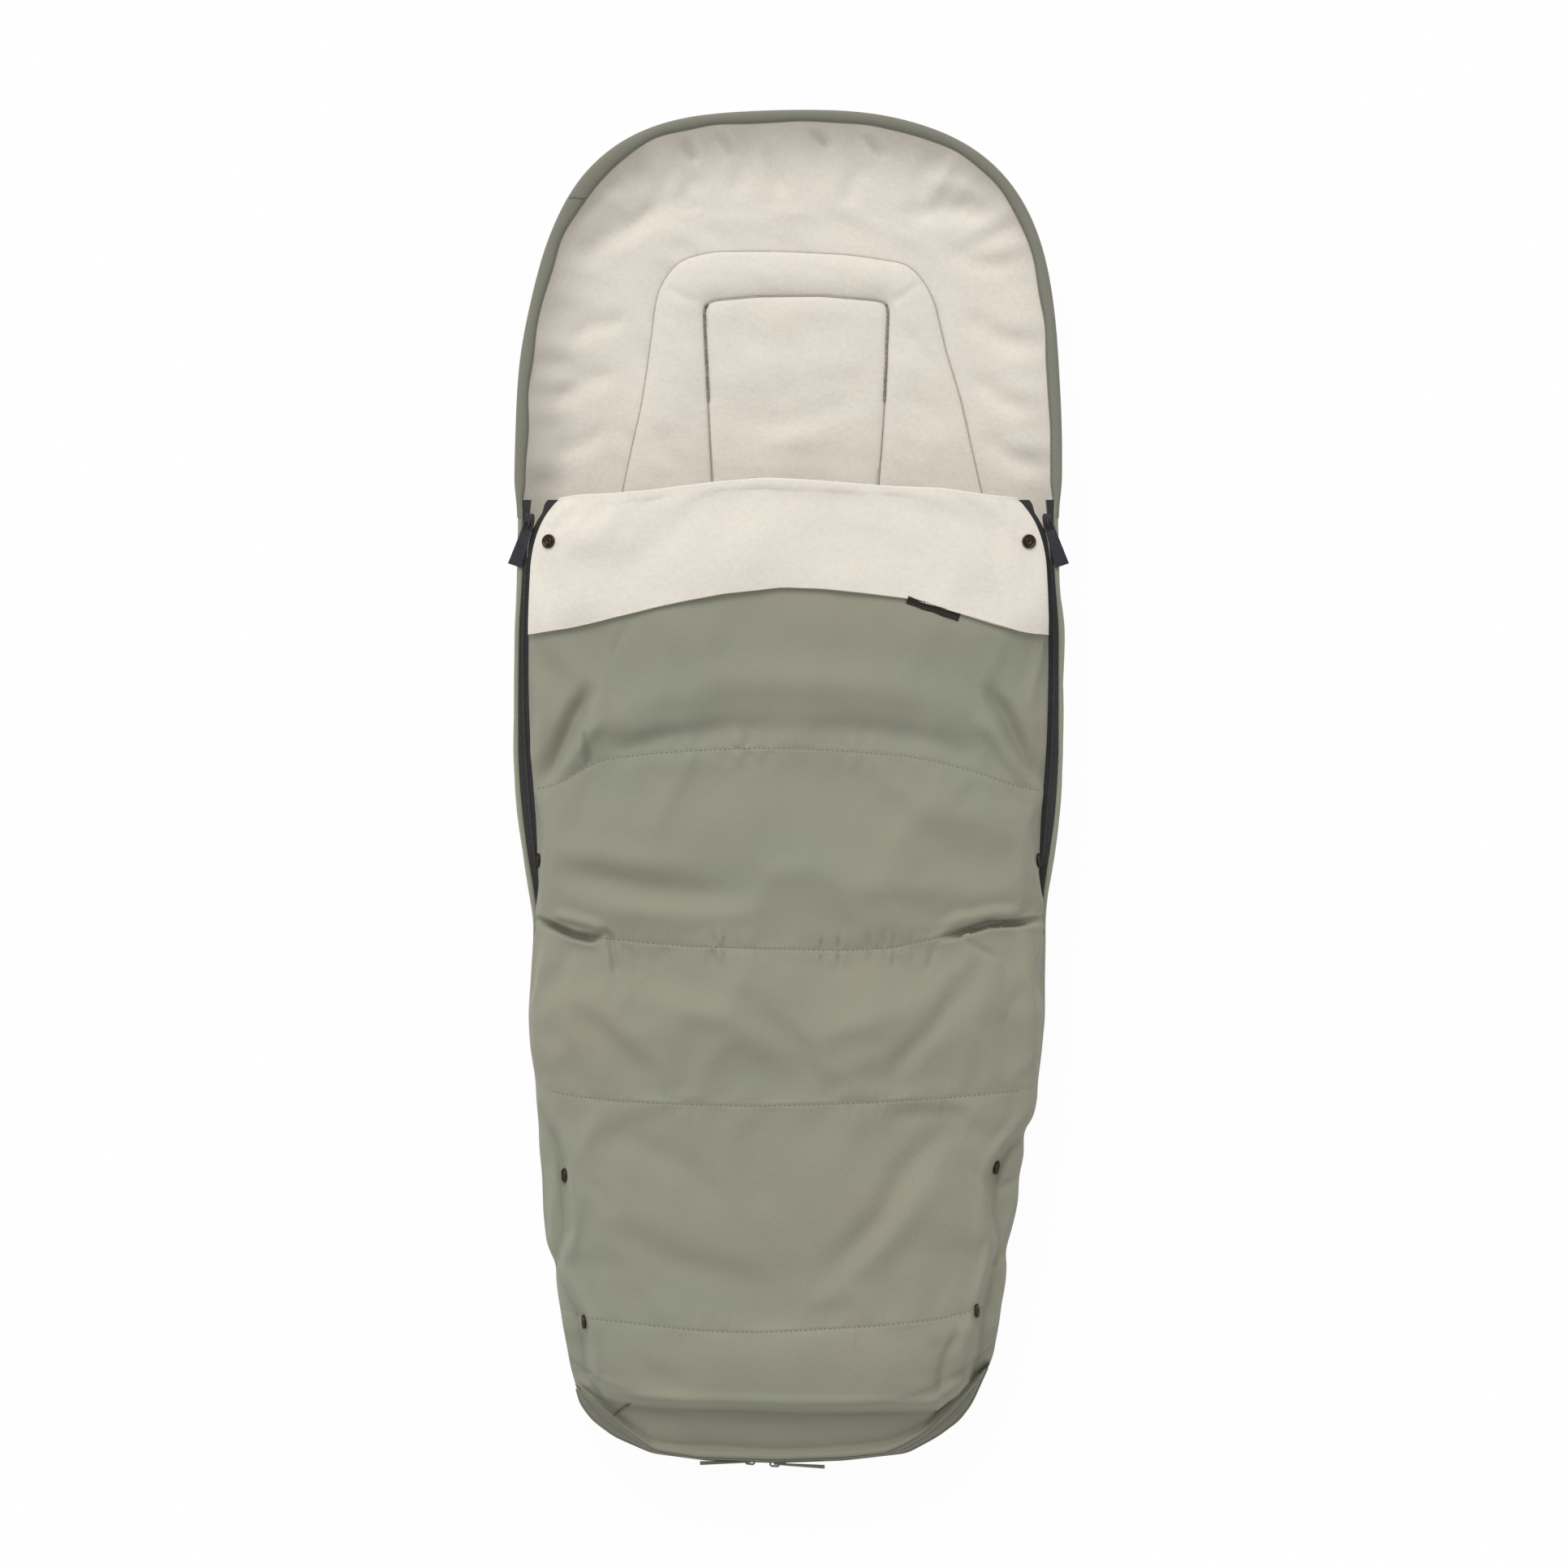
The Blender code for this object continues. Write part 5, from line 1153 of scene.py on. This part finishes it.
class MakePads(Piece):
    """Makes the padded harness surround and the panel inside it"""
    bl_idname = "footmuff.make_pads"
    bl_label = "Harness pad"

    def make(self, context):
        # Both seams are walked so that their corners match
        runs, lines = (90, 60, 90), []
        for points, reach in ((PAD_SEAM, 4), (PANEL_SEAM, 2)):
            line = smooth_line(points, 260, reach)
            x, y = line.T
            corners = [0, int(np.argmax(y - x)), int(np.argmax(y + x)), 259]
            parts = [evenly(line[a:b + 1], run)[1 if a else 0:] for a, b, run in zip(corners, corners[1:], runs)]
            lines.append(np.concatenate(parts))
        outer, inner = lines
        t = np.linspace(0, 1, 30)[None, :, None]
        inner_edge = inner + (outer - inner) * 0.012
        xy = outer[:, None] * (1 - t) + inner_edge[:, None] * t
        x, y = xy[..., 0], xy[..., 1]
        swell = np.sin(np.pi * t[..., 0]) ** 0.55
        detail = folds(x, y, PAD_FOLDS) + ripple(x, y, 0.05, 91) * 0.0005 + ripple(x, y, 0.022, 92) * 0.00025
        top = patch_height(xy, 0)
        under = top + (0, 0, 0.0003)
        top[..., 2] += 0.0010 + 0.0048 * swell + detail * swell
        pad = two_sided("harness_surround", top, under, "fleece")
        dressed(pad, "back", "fleece", "harness_pad", fill=0.4)
        # The panel inside, from its left seam to its right one
        a, b = runs[0] - 1, runs[0] + runs[1] - 2
        count = 80
        left, right = evenly(inner[:a + 1][::-1], count), evenly(inner[b:], count)
        slit = 0.0010 * (1 - ease(0.288, 0.280, left[:, 1])) * ease(0.362, 0.355, left[:, 1]) + 0.0002
        shrink = np.stack((slit, np.zeros_like(slit)), -1)
        t = np.linspace(0, 1, 50)[None, :, None]
        xy = (left + shrink)[:, None] * (1 - t) + (right - shrink)[:, None] * t
        head = inner[a:b + 1]
        down = np.linspace(0, 1, count)[:, None]
        up = np.interp(xy[0, :, 0], head[:, 0], head[:, 1]) - xy[0, :, 1]
        xy[..., 1] += up[None] * ease(0.35, 0.0, down) - 0.0002
        x, y = xy[..., 0], xy[..., 1]
        swell = np.sin(np.pi * t[..., 0]) ** 0.35 * np.clip(down * 16, 0, 1) ** 0.5
        detail = ripple(x, y, 0.055, 95) * 0.0006 + ripple(x, y, 0.024, 96) * 0.0003 + folds(x, y, INSET_FOLDS)
        top = patch_height(xy, 0)
        under = top + (0, 0, 0.0003)
        top[..., 2] += 0.0010 + 0.0032 * swell + detail * swell
        panel = two_sided("harness_inset", top, under, "fleece")
        dressed(panel, "back", "fleece", "harness_panel", fill=0.35)
        # Dark cream cords along both seams: partly thread, partly painted shade in the seams' grooves
        seam_cord("pad_seam", outer[2:-2], "cream_thread_and_groove_shade", 0.0006, 0.0005, 0.0009)
        seam_cord("panel_seam", inner[2:-2], "cream_thread_and_groove_shade", 0.0005, 0.0005, 0.0012)
        # Dark brown cords in the slits, with wavy stitch-like edges: painted shadow inside the slits
        for word, line in (("left", left), ("right", right)):
            slit_line = evenly(line[(line[:, 1] < 0.357) & (line[:, 1] > 0.284)], 70)
            slit_line[:, 0] += 0.0003 * np.sin(np.arange(70) * 1.9)
            seam_cord("slit_" + word, slit_line, "slit", 0.0007, 0.0006, 0.0021)


def seam_cord(name, line, finish, wide, tall, lift):
    """A dark cord half sunk in the fleece: painted shade in a sewn seam's groove, partly its thread, or painted shadow
    inside a slit.
    """
    spots = patch_height(np.stack((line, line)), lift)[0]
    dressed(swept(name, spots, wide, tall, finish), "back", "fleece")


class MakeBinding(Piece):
    """Makes the sage binding round the head, with its stitching and its slanted join"""
    bl_idname = "footmuff.make_binding"
    bl_label = "Head binding"

    def make(self, context):
        keep = np.flatnonzero(LOOP_Y >= 0.1965)
        gap = np.flatnonzero(np.diff(keep) > 1)
        if len(gap):
            keep = np.roll(keep, -gap[0] - 1)
        line, inward, rim = LOOP[keep], INWARD[keep], LOOP_RIM[keep]
        length = lengths_along(line)
        ends = ease(0.004, 0.030, length) * ease(0.004, 0.030, length[-1] - length)
        wave = 1 + 0.05 * np.sin(length / 0.009) + 0.06 * ripple(length, length * 0, 0.05, 101)
        corner = length[nearest(line, (722, 208))]
        wave += 0.50 * np.exp(-((length - corner) / 0.040) ** 2)
        rings = np.empty((len(line), len(BINDING_SECTION), 3))
        for k, (inset, z) in enumerate(BINDING_SECTION):
            # The outer face narrows and the inner one draws back at the binding's two ends
            scale = wave * (0.48 + 0.52 * ends) if inset > 0.004 else ends if inset < 0 else np.ones_like(ends)
            rings[:, k, :2] = line + inward * (inset * scale)[:, None]
            rings[:, k, 2] = rim + z
        piece = ringed("head_binding", rings, "trim")
        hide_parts("rim_binding")
        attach(piece, "back")
        # Dark stitches along the binding's inner edge: partly thread, partly painted shade along that edge
        top = (rings[:, 7] * 0.75 + rings[:, 8] * 0.25)[4:-4]
        thread("binding_stitches", [top], [upright(len(top))], "thread", "back", "sage_trim",
               pitch=0.0030, length=0.0021)
        # The slanted join of the binding's two ends, at the upper left
        at = nearest(line, (708, 238))
        ahead = rings[at + 1, 5] - rings[at - 1, 5]
        ahead /= np.linalg.norm(ahead)
        path = evenly(rings[at, 4:9] + ahead * np.linspace(-0.004, 0.004, 5)[:, None], 20) + (0, 0, 0.00015)
        dressed(swept("binding_join", path, 0.0005, 0.00035, "thread"), "back", "sage_trim")


def nearest(line, pixel):
    return int(np.argmin(np.linalg.norm(line - place(pixel), axis=1)))


class MakeSideZips(Piece):
    """Makes the charcoal zip tapes down both sides, with their teeth, and finishes the sliders and pulls"""
    bl_idname = "footmuff.make_side_zips"
    bl_label = "Side zips"

    def make(self, context):
        y = np.linspace(ZIP_TOP_Y + 0.001, ZIP_FOOT_Y, 220)
        level = np.full(y.shape, TAPE_HIGH + 0.0001)
        for side, word, outer in zip((-1, 1), ("left", "right"), edges(y)):
            inner = zip_line(y, 0.00015)
            self.tape("shell_" + word, y, inner, np.maximum(np.abs(outer) - 0.0030, inner + 0.0026), side, "back")
            edge = zip_line(y, -0.00015) - parting(y)
            wider = 0.0018 * ease(0.165, 0.188, y) + 0.0042 * ease(0.199, 0.2095, y)
            self.tape("cover_" + word, y, edge - 0.0070, edge + wider, side, "cover")
            for body, where, x, keep in (("back", "shell", zip_line(y, 0.0004), y < 1),
                                         ("cover", "cover", zip_line(y, -0.0004) - parting(y), y < 0.168)):
                beads = self.teeth("side_teeth_%s_%s" % (where, word), np.stack((side * x, y, level), -1)[keep])
                dressed(beads, body, "zip_coil", "zip_coil_%s_%s" % (where, word))
            line = np.stack((side * zip_line(y, 0.0022), y, level), -1)
            thread("side_tape_stitches_" + word, [line], [upright(len(y))], "dark_thread", "back", "zip_tape",
                   pitch=0.0030, radius=0.00025)
            for node in ("zip_slider_", "zip_bail_"):
                soften(node + word, "slider_" + word, "slider", "slider_metal")
            soften("zip_pull_" + word, "pull_" + word, "slider", "slider_metal", hub=(side * 0.19168, 0.193),
                   toward=(side * 0.31, -0.92), longer=1.28, wider=1.45)

    def tape(self, name, y, near, far, side, body):
        """One woven tape: a flat strip with a rolled inner edge."""
        t = np.linspace(0, 1, 9)[None]
        x = near[:, None] * (1 - t) + far[:, None] * t
        z = TAPE_HIGH + 0.00012 * np.sin(y / 0.0012)[:, None] + 0.0002 * np.cos(np.pi * t)
        top = np.stack((side * x, y[:, None] + 0 * x, z), -1)
        under = top.copy()
        under[..., 2] = TAPE_LOW
        dressed(two_sided("side_tape_" + name, top, under, "tape"), body, "zip_tape", "zip_tape_" + name)

    def teeth(self, name, line):
        """The coil's turns, as small rounded beads at an even pitch."""
        steps = lengths_along(line)
        verts, faces = [], []
        pitch, sides = 0.0014, 6
        bead = [(a * 0.0008, 0.00045 * share * math.cos(turn), 0.00035 * share * math.sin(turn))
                for a, share in ((-1, 0.5), (-0.6, 1.0), (0.6, 1.0), (1, 0.5))
                for turn in np.radians(np.arange(0, 360, 60))]
        for k in range(int(steps[-1] / pitch)):
            at = np.array([np.interp(pitch * (k + 0.5), steps, column) for column in line.T])
            add_bead(verts, faces, list(at + bead), sides)
        return closed(name, verts, faces, np.zeros((len(verts), 2)), "coil")


def turned_pull(spots, hub, toward, longer, wider):
    """A pull's points, squared at its end, widened, lengthened and turned about its pin, from above."""
    middle = (spots.max(0) + spots.min(0)) / 2
    along = middle[:2] - hub
    turn = math.atan2(toward[1], toward[0]) - math.atan2(along[1], along[0])
    along = along / np.linalg.norm(along)
    side = np.array((-along[1], along[0]))
    reach, aside = (spots[:, :2] - hub) @ along, (spots[:, :2] - hub) @ side
    half, far = np.abs(aside).max(), reach.max()
    past = np.clip(reach - (far - half), 0, half * 0.999)
    aside = np.clip(aside / np.sqrt(1 - (past / half) ** 2), -half, half)
    aside = aside * (1 + (wider - 1) * np.clip(reach / 0.02, 0, 1))
    reach = reach + np.clip(reach - 0.004, 0, None) * (longer - 1)
    x, y = (along[:, None] * reach + side[:, None] * aside)
    moved = spots.copy()
    moved[:, 0] = hub[0] + x * math.cos(turn) - y * math.sin(turn)
    moved[:, 1] = hub[1] + x * math.sin(turn) + y * math.cos(turn)
    return moved


def soften(node, body, finish, slot, width=0.00028, hub=None, toward=None, longer=1.0, wider=1.0, grow=1.0):
    """A smoother piece in place of a cast CAD one, its edges rounded, and turned or lengthened about its pin."""
    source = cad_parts[node]
    data = source.data.copy()
    data.transform(source.matrix_world)
    spots = np.array([vert.co for vert in data.vertices])
    if grow != 1.0:
        middle = Vector((spots.max(0) + spots.min(0)) / 2)
        data.transform(Matrix.Translation(middle) @ Matrix.Diagonal((grow, grow, 1, 1)) @ Matrix.Translation(-middle))
    if hub:
        data.vertices.foreach_set("co", turned_pull(spots, hub, toward, longer, wider).ravel())
    mesh = bmesh.new()
    mesh.from_mesh(data)
    bmesh.ops.remove_doubles(mesh, verts=mesh.verts, dist=1e-6)
    bmesh.ops.dissolve_limit(mesh, angle_limit=math.radians(4), verts=mesh.verts, edges=mesh.edges)
    mesh.to_mesh(data)
    mesh.free()
    data.materials.clear()
    data.materials.append(material(finish))
    thing = linked(node + "_cast", data)
    step = thing.modifiers.new("rounding", "BEVEL")
    step.width, step.segments, step.limit_method, step.angle_limit = width, 3, "ANGLE", math.radians(25)
    applied(thing, step)
    bpy.ops.object.shade_smooth_by_angle(angle=math.radians(40))
    thing.select_set(False)
    dressed(thing, body, slot, node)


class MakeFootZip(Piece):
    """Makes the foot zip's tapes with their piping, and finishes its two sliders and pulls"""
    bl_idname = "footmuff.make_foot_zip"
    bl_label = "Foot zip"

    def make(self, context):
        count, wide = 220, 9
        inner, outer = evenly(smooth_line(FOOT_LINE, reach=3), count), evenly(smooth_line(FOOT_EDGE), count)
        out = outer - inner
        for name, body, low, high, z_low, z_high, part in (
            ("flap_left", "toe_flap", 0.02, 0.50, 0.0592, 0.0530, slice(0, 92)),
            ("flap_right", "toe_flap", 0.02, 0.50, 0.0592, 0.0530, slice(112, count)),
            ("shell", "back", 0.53, 1.0, 0.0526, 0.0470, slice(None)),
        ):
            xy = inner[:, None] + out[:, None] * np.linspace(low, high, wide)[None, :, None]
            z = np.linspace(z_low, z_high, wide) + 0.0006 * np.sin(np.pi * np.linspace(0, 1, wide)) + 0 * xy[..., 0]
            top = np.concatenate((xy, z[..., None]), -1)[part]
            piece = two_sided("foot_tape_%s_band" % name, top, top - (0, 0, 0.0011), "trim")
            dressed(piece, body, "sage_trim", "foot_tape_" + name)
        # Piping along both edges of the band, and the coil's line between them
        flap, whole = {"left": slice(3, 95), "right": slice(109, -3)}, slice(3, -3)
        for name, share, z, body, part, node in (
            ("toe_piping", 0.0, 0.0600, "toe_flap", whole, None), ("shell_piping", 0.99, 0.0474, "back", whole, None),
            ("coil_line", 0.51, 0.0532, "back", whole, "foot_coil_shell"),
            ("toe_coil_left", 0.46, 0.0540, "toe_flap", flap["left"], "foot_coil_flap_left"),
            ("toe_coil_right", 0.46, 0.0540, "toe_flap", flap["right"], "foot_coil_flap_right"),
        ):
            line = np.concatenate((inner + out * share, np.full((count, 1), z)), 1)[part]
            if node:
                dressed(swept(name, line, 0.00054, 0.00054, "foot_coil", 36), body, "foot_coil", node)
            else:
                dressed(swept(name, line, 0.0009, 0.0009, "trim", 36), body, "sage_trim")
        for word, hub, toward in (("left", (-0.028456, -0.50114), (-1.0, -0.03)),
                                  ("right", (-0.010163, -0.502764), (1.0, -0.06))):
            for node in ("foot_slider_", "foot_bail_"):
                soften(node + word, "foot_slider_" + word, "foot_metal", "foot_metal", 0.0002, grow=1.2)
            soften("foot_pull_" + word, "foot_pull_" + word, "foot_metal", "foot_metal", 0.0002, hub, toward, 1.1, 2.2)


class MakeCuff(Piece):
    """Makes the cuff: the cover's fleece turned over its mouth"""
    bl_idname = "footmuff.make_cuff"
    bl_label = "Cuff"

    def make(self, context):
        quilt = channels(context)
        cloth = quilt.points[:quilt.marks[1]]
        columns, rows = len(quilt.across), 70
        s = np.linspace(0, 1, rows)[:, None]

        def on_cloth(column, y, axis):
            """The cover's x or z in one of its columns, at a height in the picture."""
            return np.interp(-y, -cloth[:, column, 1], cloth[:, column, axis])

        hem = smooth_line(CUFF_HEM, reach=3)
        x_hem = cloth[0, :, 0]
        for _ in range(5):
            y_hem = np.interp(x_hem, hem[:, 0], hem[:, 1])
            x_hem = [on_cloth(j, y_hem[j], 0) for j in range(columns)]
        y = (cloth[0, :, 1] + 0.0006)[None] * (1 - s) + y_hem[None] * s
        x, z = (np.stack([on_cloth(j, y[:, j], axis) for j in range(columns)], -1) for axis in (0, 2))
        floor = np.stack((x, y, z), -1)
        out = normals_of(floor)
        slope = np.clip(quilt.rise[None] * 1.5, 0, 1)
        thick = 0.0052 * np.sin(np.pi * (0.10 + 0.78 * s)) ** 0.6 * (0.35 + 0.65 * slope)
        lift = folds(x, y, CUFF_FOLDS) + ripple(x, y, 0.08, 53) * 0.0006
        top = floor + out * (0.0008 + thick + 0.0026 * np.tanh(lift / 0.0026) * slope)[..., None]
        low = floor + out * 0.0005
        for grid, gap in ((top, 0.0036), (low, 0.0048)):
            grid[..., 0] = np.sign(grid[..., 0]) * np.minimum(np.abs(grid[..., 0]), beside_zip(y, gap))
        # The rounded fold round the mouth, over the cover's end
        half = (top[0] - low[0]) / 2
        reach = (np.linalg.norm(half, axis=-1, keepdims=True) + 0.0012) * (0.0, 1.0, 0.0)
        nose = [(top[0] + low[0]) / 2 + half * math.cos(turn) + reach * math.sin(turn)
                for turn in np.radians((172, 150, 128, 106, 84, 62, 40, 20))]
        top = np.concatenate((nose, top))
        at = np.linspace(0, rows - 1, len(top))
        share, at = (at % 1)[:, None, None], at.astype(int)
        low = low[at] * (1 - share) + low[np.minimum(at + 1, rows - 1)] * share
        piece = dressed(two_sided("cuff", top, low, "fleece"), None, "fleece",
                        "cuff_face", "cuff_fill", "cuff_fleece", fill=0.4)
        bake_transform(piece)
        KEPT["cuff"] = surface_of(piece)


class MakeTag(Piece):
    """Makes the bare woven tag sewn along the cuff's edge"""
    bl_idname = "footmuff.make_tag"
    bl_label = "Bare tag"

    def make(self, context):
        start, end = place((1117, 740)), place((1181, 762))
        ahead = (end - start) / np.linalg.norm(end - start)
        side = np.array((-ahead[1], ahead[0]))
        rows = 40
        s, t = np.linspace(0, 1, rows)[:, None], np.linspace(-1, 1, 9)[None]
        wide = 0.0030 * (1 - 0.12 * np.sin(s * 9) ** 2)
        xy = start + (end - start) * s[..., None] + side * (t * wide)[..., None]
        z = np.empty(xy.shape[:2])
        for spot in np.ndindex(z.shape):
            hits = [over(name, *xy[spot])[0] for name in ("cuff", "quilted_cover")]
            z[spot] = max(hit.z for hit in hits if hit)
        z = blurred(blurred(z, 3).T, 1).T + 0.0009 + 0.0003 * np.sin(s * 11 + t) - 0.0004 * t ** 4
        top = np.concatenate((xy, z[..., None]), -1)
        dressed(two_sided("bare_tag", top, top - (0, 0, 0.0009), "tag"), "cuff", "tag_fabric", "tag")
        lines = [top[2:-2, column] + (0, 0, 0.0001) for column in (1, -2)]
        thread("tag_stitches", lines, [upright(rows - 4)] * 2, "dark_thread", "cuff", "tag_fabric",
               pitch=0.0024, length=0.0016, radius=0.00018)


class MakeSnaps(Piece):
    """Makes the eight bronze snap caps: one turned profile, copied to each place"""
    bl_idname = "footmuff.make_snaps"
    bl_label = "Snap caps"

    def make(self, context):
        for pair, surface, body, tilt, left, right in (
            ("cuff_snap_", "cuff", "cuff", 0.0, (677, 668), (1267, 668)),
            ("side_snap_", "quilted_cover", "cover", 2.4, (656, 1060), (1287, 1060)),
            ("lower_snap_", "lower_cover", "back", 0.8, (697, 1447), (1226, 1437)),
            ("toe_snap_", "toe", "toe_flap", 2.4, (721, 1627), (1202, 1613)),
        ):
            for word, spot in (("left", left), ("right", right)):
                self.cap(pair + word, surface, body, tilt, *place(spot))

    def cap(self, name, surface, body, tilt, x, y):
        """One cap, moved inwards till there is cloth under all of it, and leaned outwards by a tilt."""
        for _ in range(12):
            around = ((0, 0), (0.002, 0), (-0.002, 0), (0, 0.002), (0, -0.002))
            hits = [over(surface, x + dx, y + dy) for dx, dy in around]
            hits = [hit for hit in hits if hit[0]]
            if len(hits) > 3 and hits[0][0].z > 0.062:
                break
            x -= math.copysign(0.001, x)
        else:
            raise RuntimeError("no cloth under " + name)
        normal = sum((hit[1] for hit in hits), Vector()).normalized()
        normal.z = abs(normal.z)
        normal = (normal + Vector((math.copysign(tilt, x), 0, 0))).normalized()
        mesh = bmesh.new()
        verts = [mesh.verts.new((r, 0, z)) for r, z in SNAP_PROFILE]
        for a, b in zip(verts, verts[1:]):
            mesh.edges.new((a, b))
        bmesh.ops.spin(mesh, geom=mesh.verts[:] + mesh.edges[:], axis=(0, 0, 1), cent=(0, 0, 0), steps=40,
                       angle=2 * math.pi, use_merge=True)
        bmesh.ops.remove_doubles(mesh, verts=mesh.verts, dist=1e-6)
        bmesh.ops.recalc_face_normals(mesh, faces=mesh.faces)
        turn = Vector((0, 0, 1)).rotation_difference(normal).to_matrix().to_4x4()
        mesh.transform(Matrix.Translation(hits[0][0]) @ turn)
        dressed(finished(name + "_cap", mesh, "bronze", 50), body, "snap_metal", name)


class MakeStudio(Piece):
    """Makes the white floor, the soft lights and the camera straight above"""
    bl_idname = "footmuff.make_studio"
    bl_label = "Studio"

    def make(self, context):
        scene = context.scene
        scene.view_settings.view_transform = "Standard"
        bpy.ops.mesh.primitive_plane_add(size=8, location=(0, 0, -0.0006))
        floor = context.object
        floor.name = "floor"
        made, tree, shader = new_material("studio_floor", 0.9)
        feed(shader, {"Base Color": (0.92, 0.92, 0.92, 1)})
        glow = add(tree, "Emission", {"Strength": 1.0})
        seen = maths(tree, "MULTIPLY", add(tree, "LightPath", {}).outputs["Is Camera Ray"], 0.96)
        mix = add(tree, "MixShader", {0: seen, 1: shader.outputs[0], 2: glow.outputs[0]})
        feed(tree.nodes["Material Output"], {"Surface": mix.outputs[0]})
        floor.data.materials.append(made)
        scene.world = bpy.data.worlds.new("studio")
        scene.world.use_nodes = True
        tree = scene.world.node_tree
        background = tree.nodes["Background"]
        feed(background, {"Color": (1.0, 1.0, 1.0, 1), "Strength": 0.58})
        white = add(tree, "Background", {"Strength": 1.0})
        path = add(tree, "LightPath", {}).outputs
        either = maths(tree, "MAXIMUM", path["Is Camera Ray"], path["Is Glossy Ray"])
        mix = add(tree, "MixShader", {0: either, 1: background.outputs[0], 2: white.outputs[0]})
        feed(tree.nodes["World Output"], {"Surface": mix.outputs[0]})
        for name, toward, strength, spread in (("top_sun", (-0.22, 1.0, 0.86), 1.75, 34),
                                               ("left_sun", (-1.0, -0.15, 1.2), 0.22, 60)):
            lamp = bpy.data.lights.new(name, "SUN")
            lamp.energy, lamp.angle = strength, math.radians(spread)
            linked(name, lamp).rotation_euler = Vector(toward).to_track_quat("Z", "Y").to_euler()
        camera = bpy.data.cameras.new("camera")
        camera.sensor_width, camera.lens = SENSOR, SENSOR * CAMERA_DISTANCE / FRAME_WIDTH
        scene.camera = linked("camera", camera)
        scene.camera.location = (-0.0033, 0.0, 9.055)


def tone(name, description, default):
    return FloatVectorProperty(name=name, description=description, subtype="COLOR", default=default, min=0, max=1)


class FootmuffTones(bpy.types.PropertyGroup):
    """Colours of the footmuff's finishes"""
    sage_cool: tone("Sage, cool", "The cloth's greener tone", (0.266, 0.277, 0.207))
    sage_warm: tone("Sage, warm", "The cloth's warmer tone", (0.292, 0.279, 0.210))
    trim: tone("Binding", "Binding and foot zip", (0.215, 0.212, 0.165))
    fleece: tone("Fleece", "The pile's main tone", (0.760, 0.715, 0.635))
    fleece_warm: tone("Fleece, warm", "The pile's second tone", (0.755, 0.700, 0.610))
    tape: tone("Zip tape", "Charcoal tape of the side zips", (0.018, 0.018, 0.018))
    slider: tone("Sliders", "Enamel of the side zips' sliders and pulls", (0.022, 0.022, 0.027))
    bronze: tone("Snaps", "Antique bronze of the snap caps", (0.026, 0.019, 0.011))
    tag: tone("Tag", "Dark brown woven tag", (0.020, 0.014, 0.007))


class FootmuffSizes(bpy.types.PropertyGroup):
    """Sizes of the footmuff's cloth"""
    threads: FloatProperty(name="Threads per metre", description="How fine the woven face is", default=1500,
                           min=200, max=4000)
    slack: FloatProperty(name="Slack", description="Share of spare cloth between the seams", default=0.012,
                         min=0, max=0.1)


class FootmuffPanel(bpy.types.Panel):
    """The footmuff's pieces, in the order they are made"""
    bl_idname = "VIEW3D_PT_footmuff"
    bl_label = "Footmuff"
    bl_space_type = "VIEW_3D"
    bl_region_type = "UI"
    bl_category = "Footmuff"

    def draw(self, context):
        for group in (context.scene.footmuff_tones, context.scene.footmuff_sizes):
            for key in group.bl_rna.properties.keys():
                if key not in ("rna_type", "name"):
                    self.layout.prop(group, key)
        for step in PIECES:
            self.layout.operator(step.bl_idname)


PIECES = (MakeStudio, MakeShell, MakeLining, MakePads, MakeBinding, MakeCover, MakeLowerCover, MakeToe, MakeCuff,
          MakeTag, MakeSideZips, MakeFootZip, MakeSnaps)
CLASSES = (FootmuffTones, FootmuffSizes, FootmuffPanel) + PIECES


def register():
    for part in CLASSES:
        bpy.utils.register_class(part)
    bpy.types.Scene.footmuff_tones = PointerProperty(type=FootmuffTones)
    bpy.types.Scene.footmuff_sizes = PointerProperty(type=FootmuffSizes)


def unregister():
    del bpy.types.Scene.footmuff_sizes
    del bpy.types.Scene.footmuff_tones
    for part in reversed(CLASSES):
        bpy.utils.unregister_class(part)


def main():
    register()
    for step in PIECES:
        group, name = step.bl_idname.split(".")
        getattr(getattr(bpy.ops, group), name)()


if __name__ == "__main__":
    main()
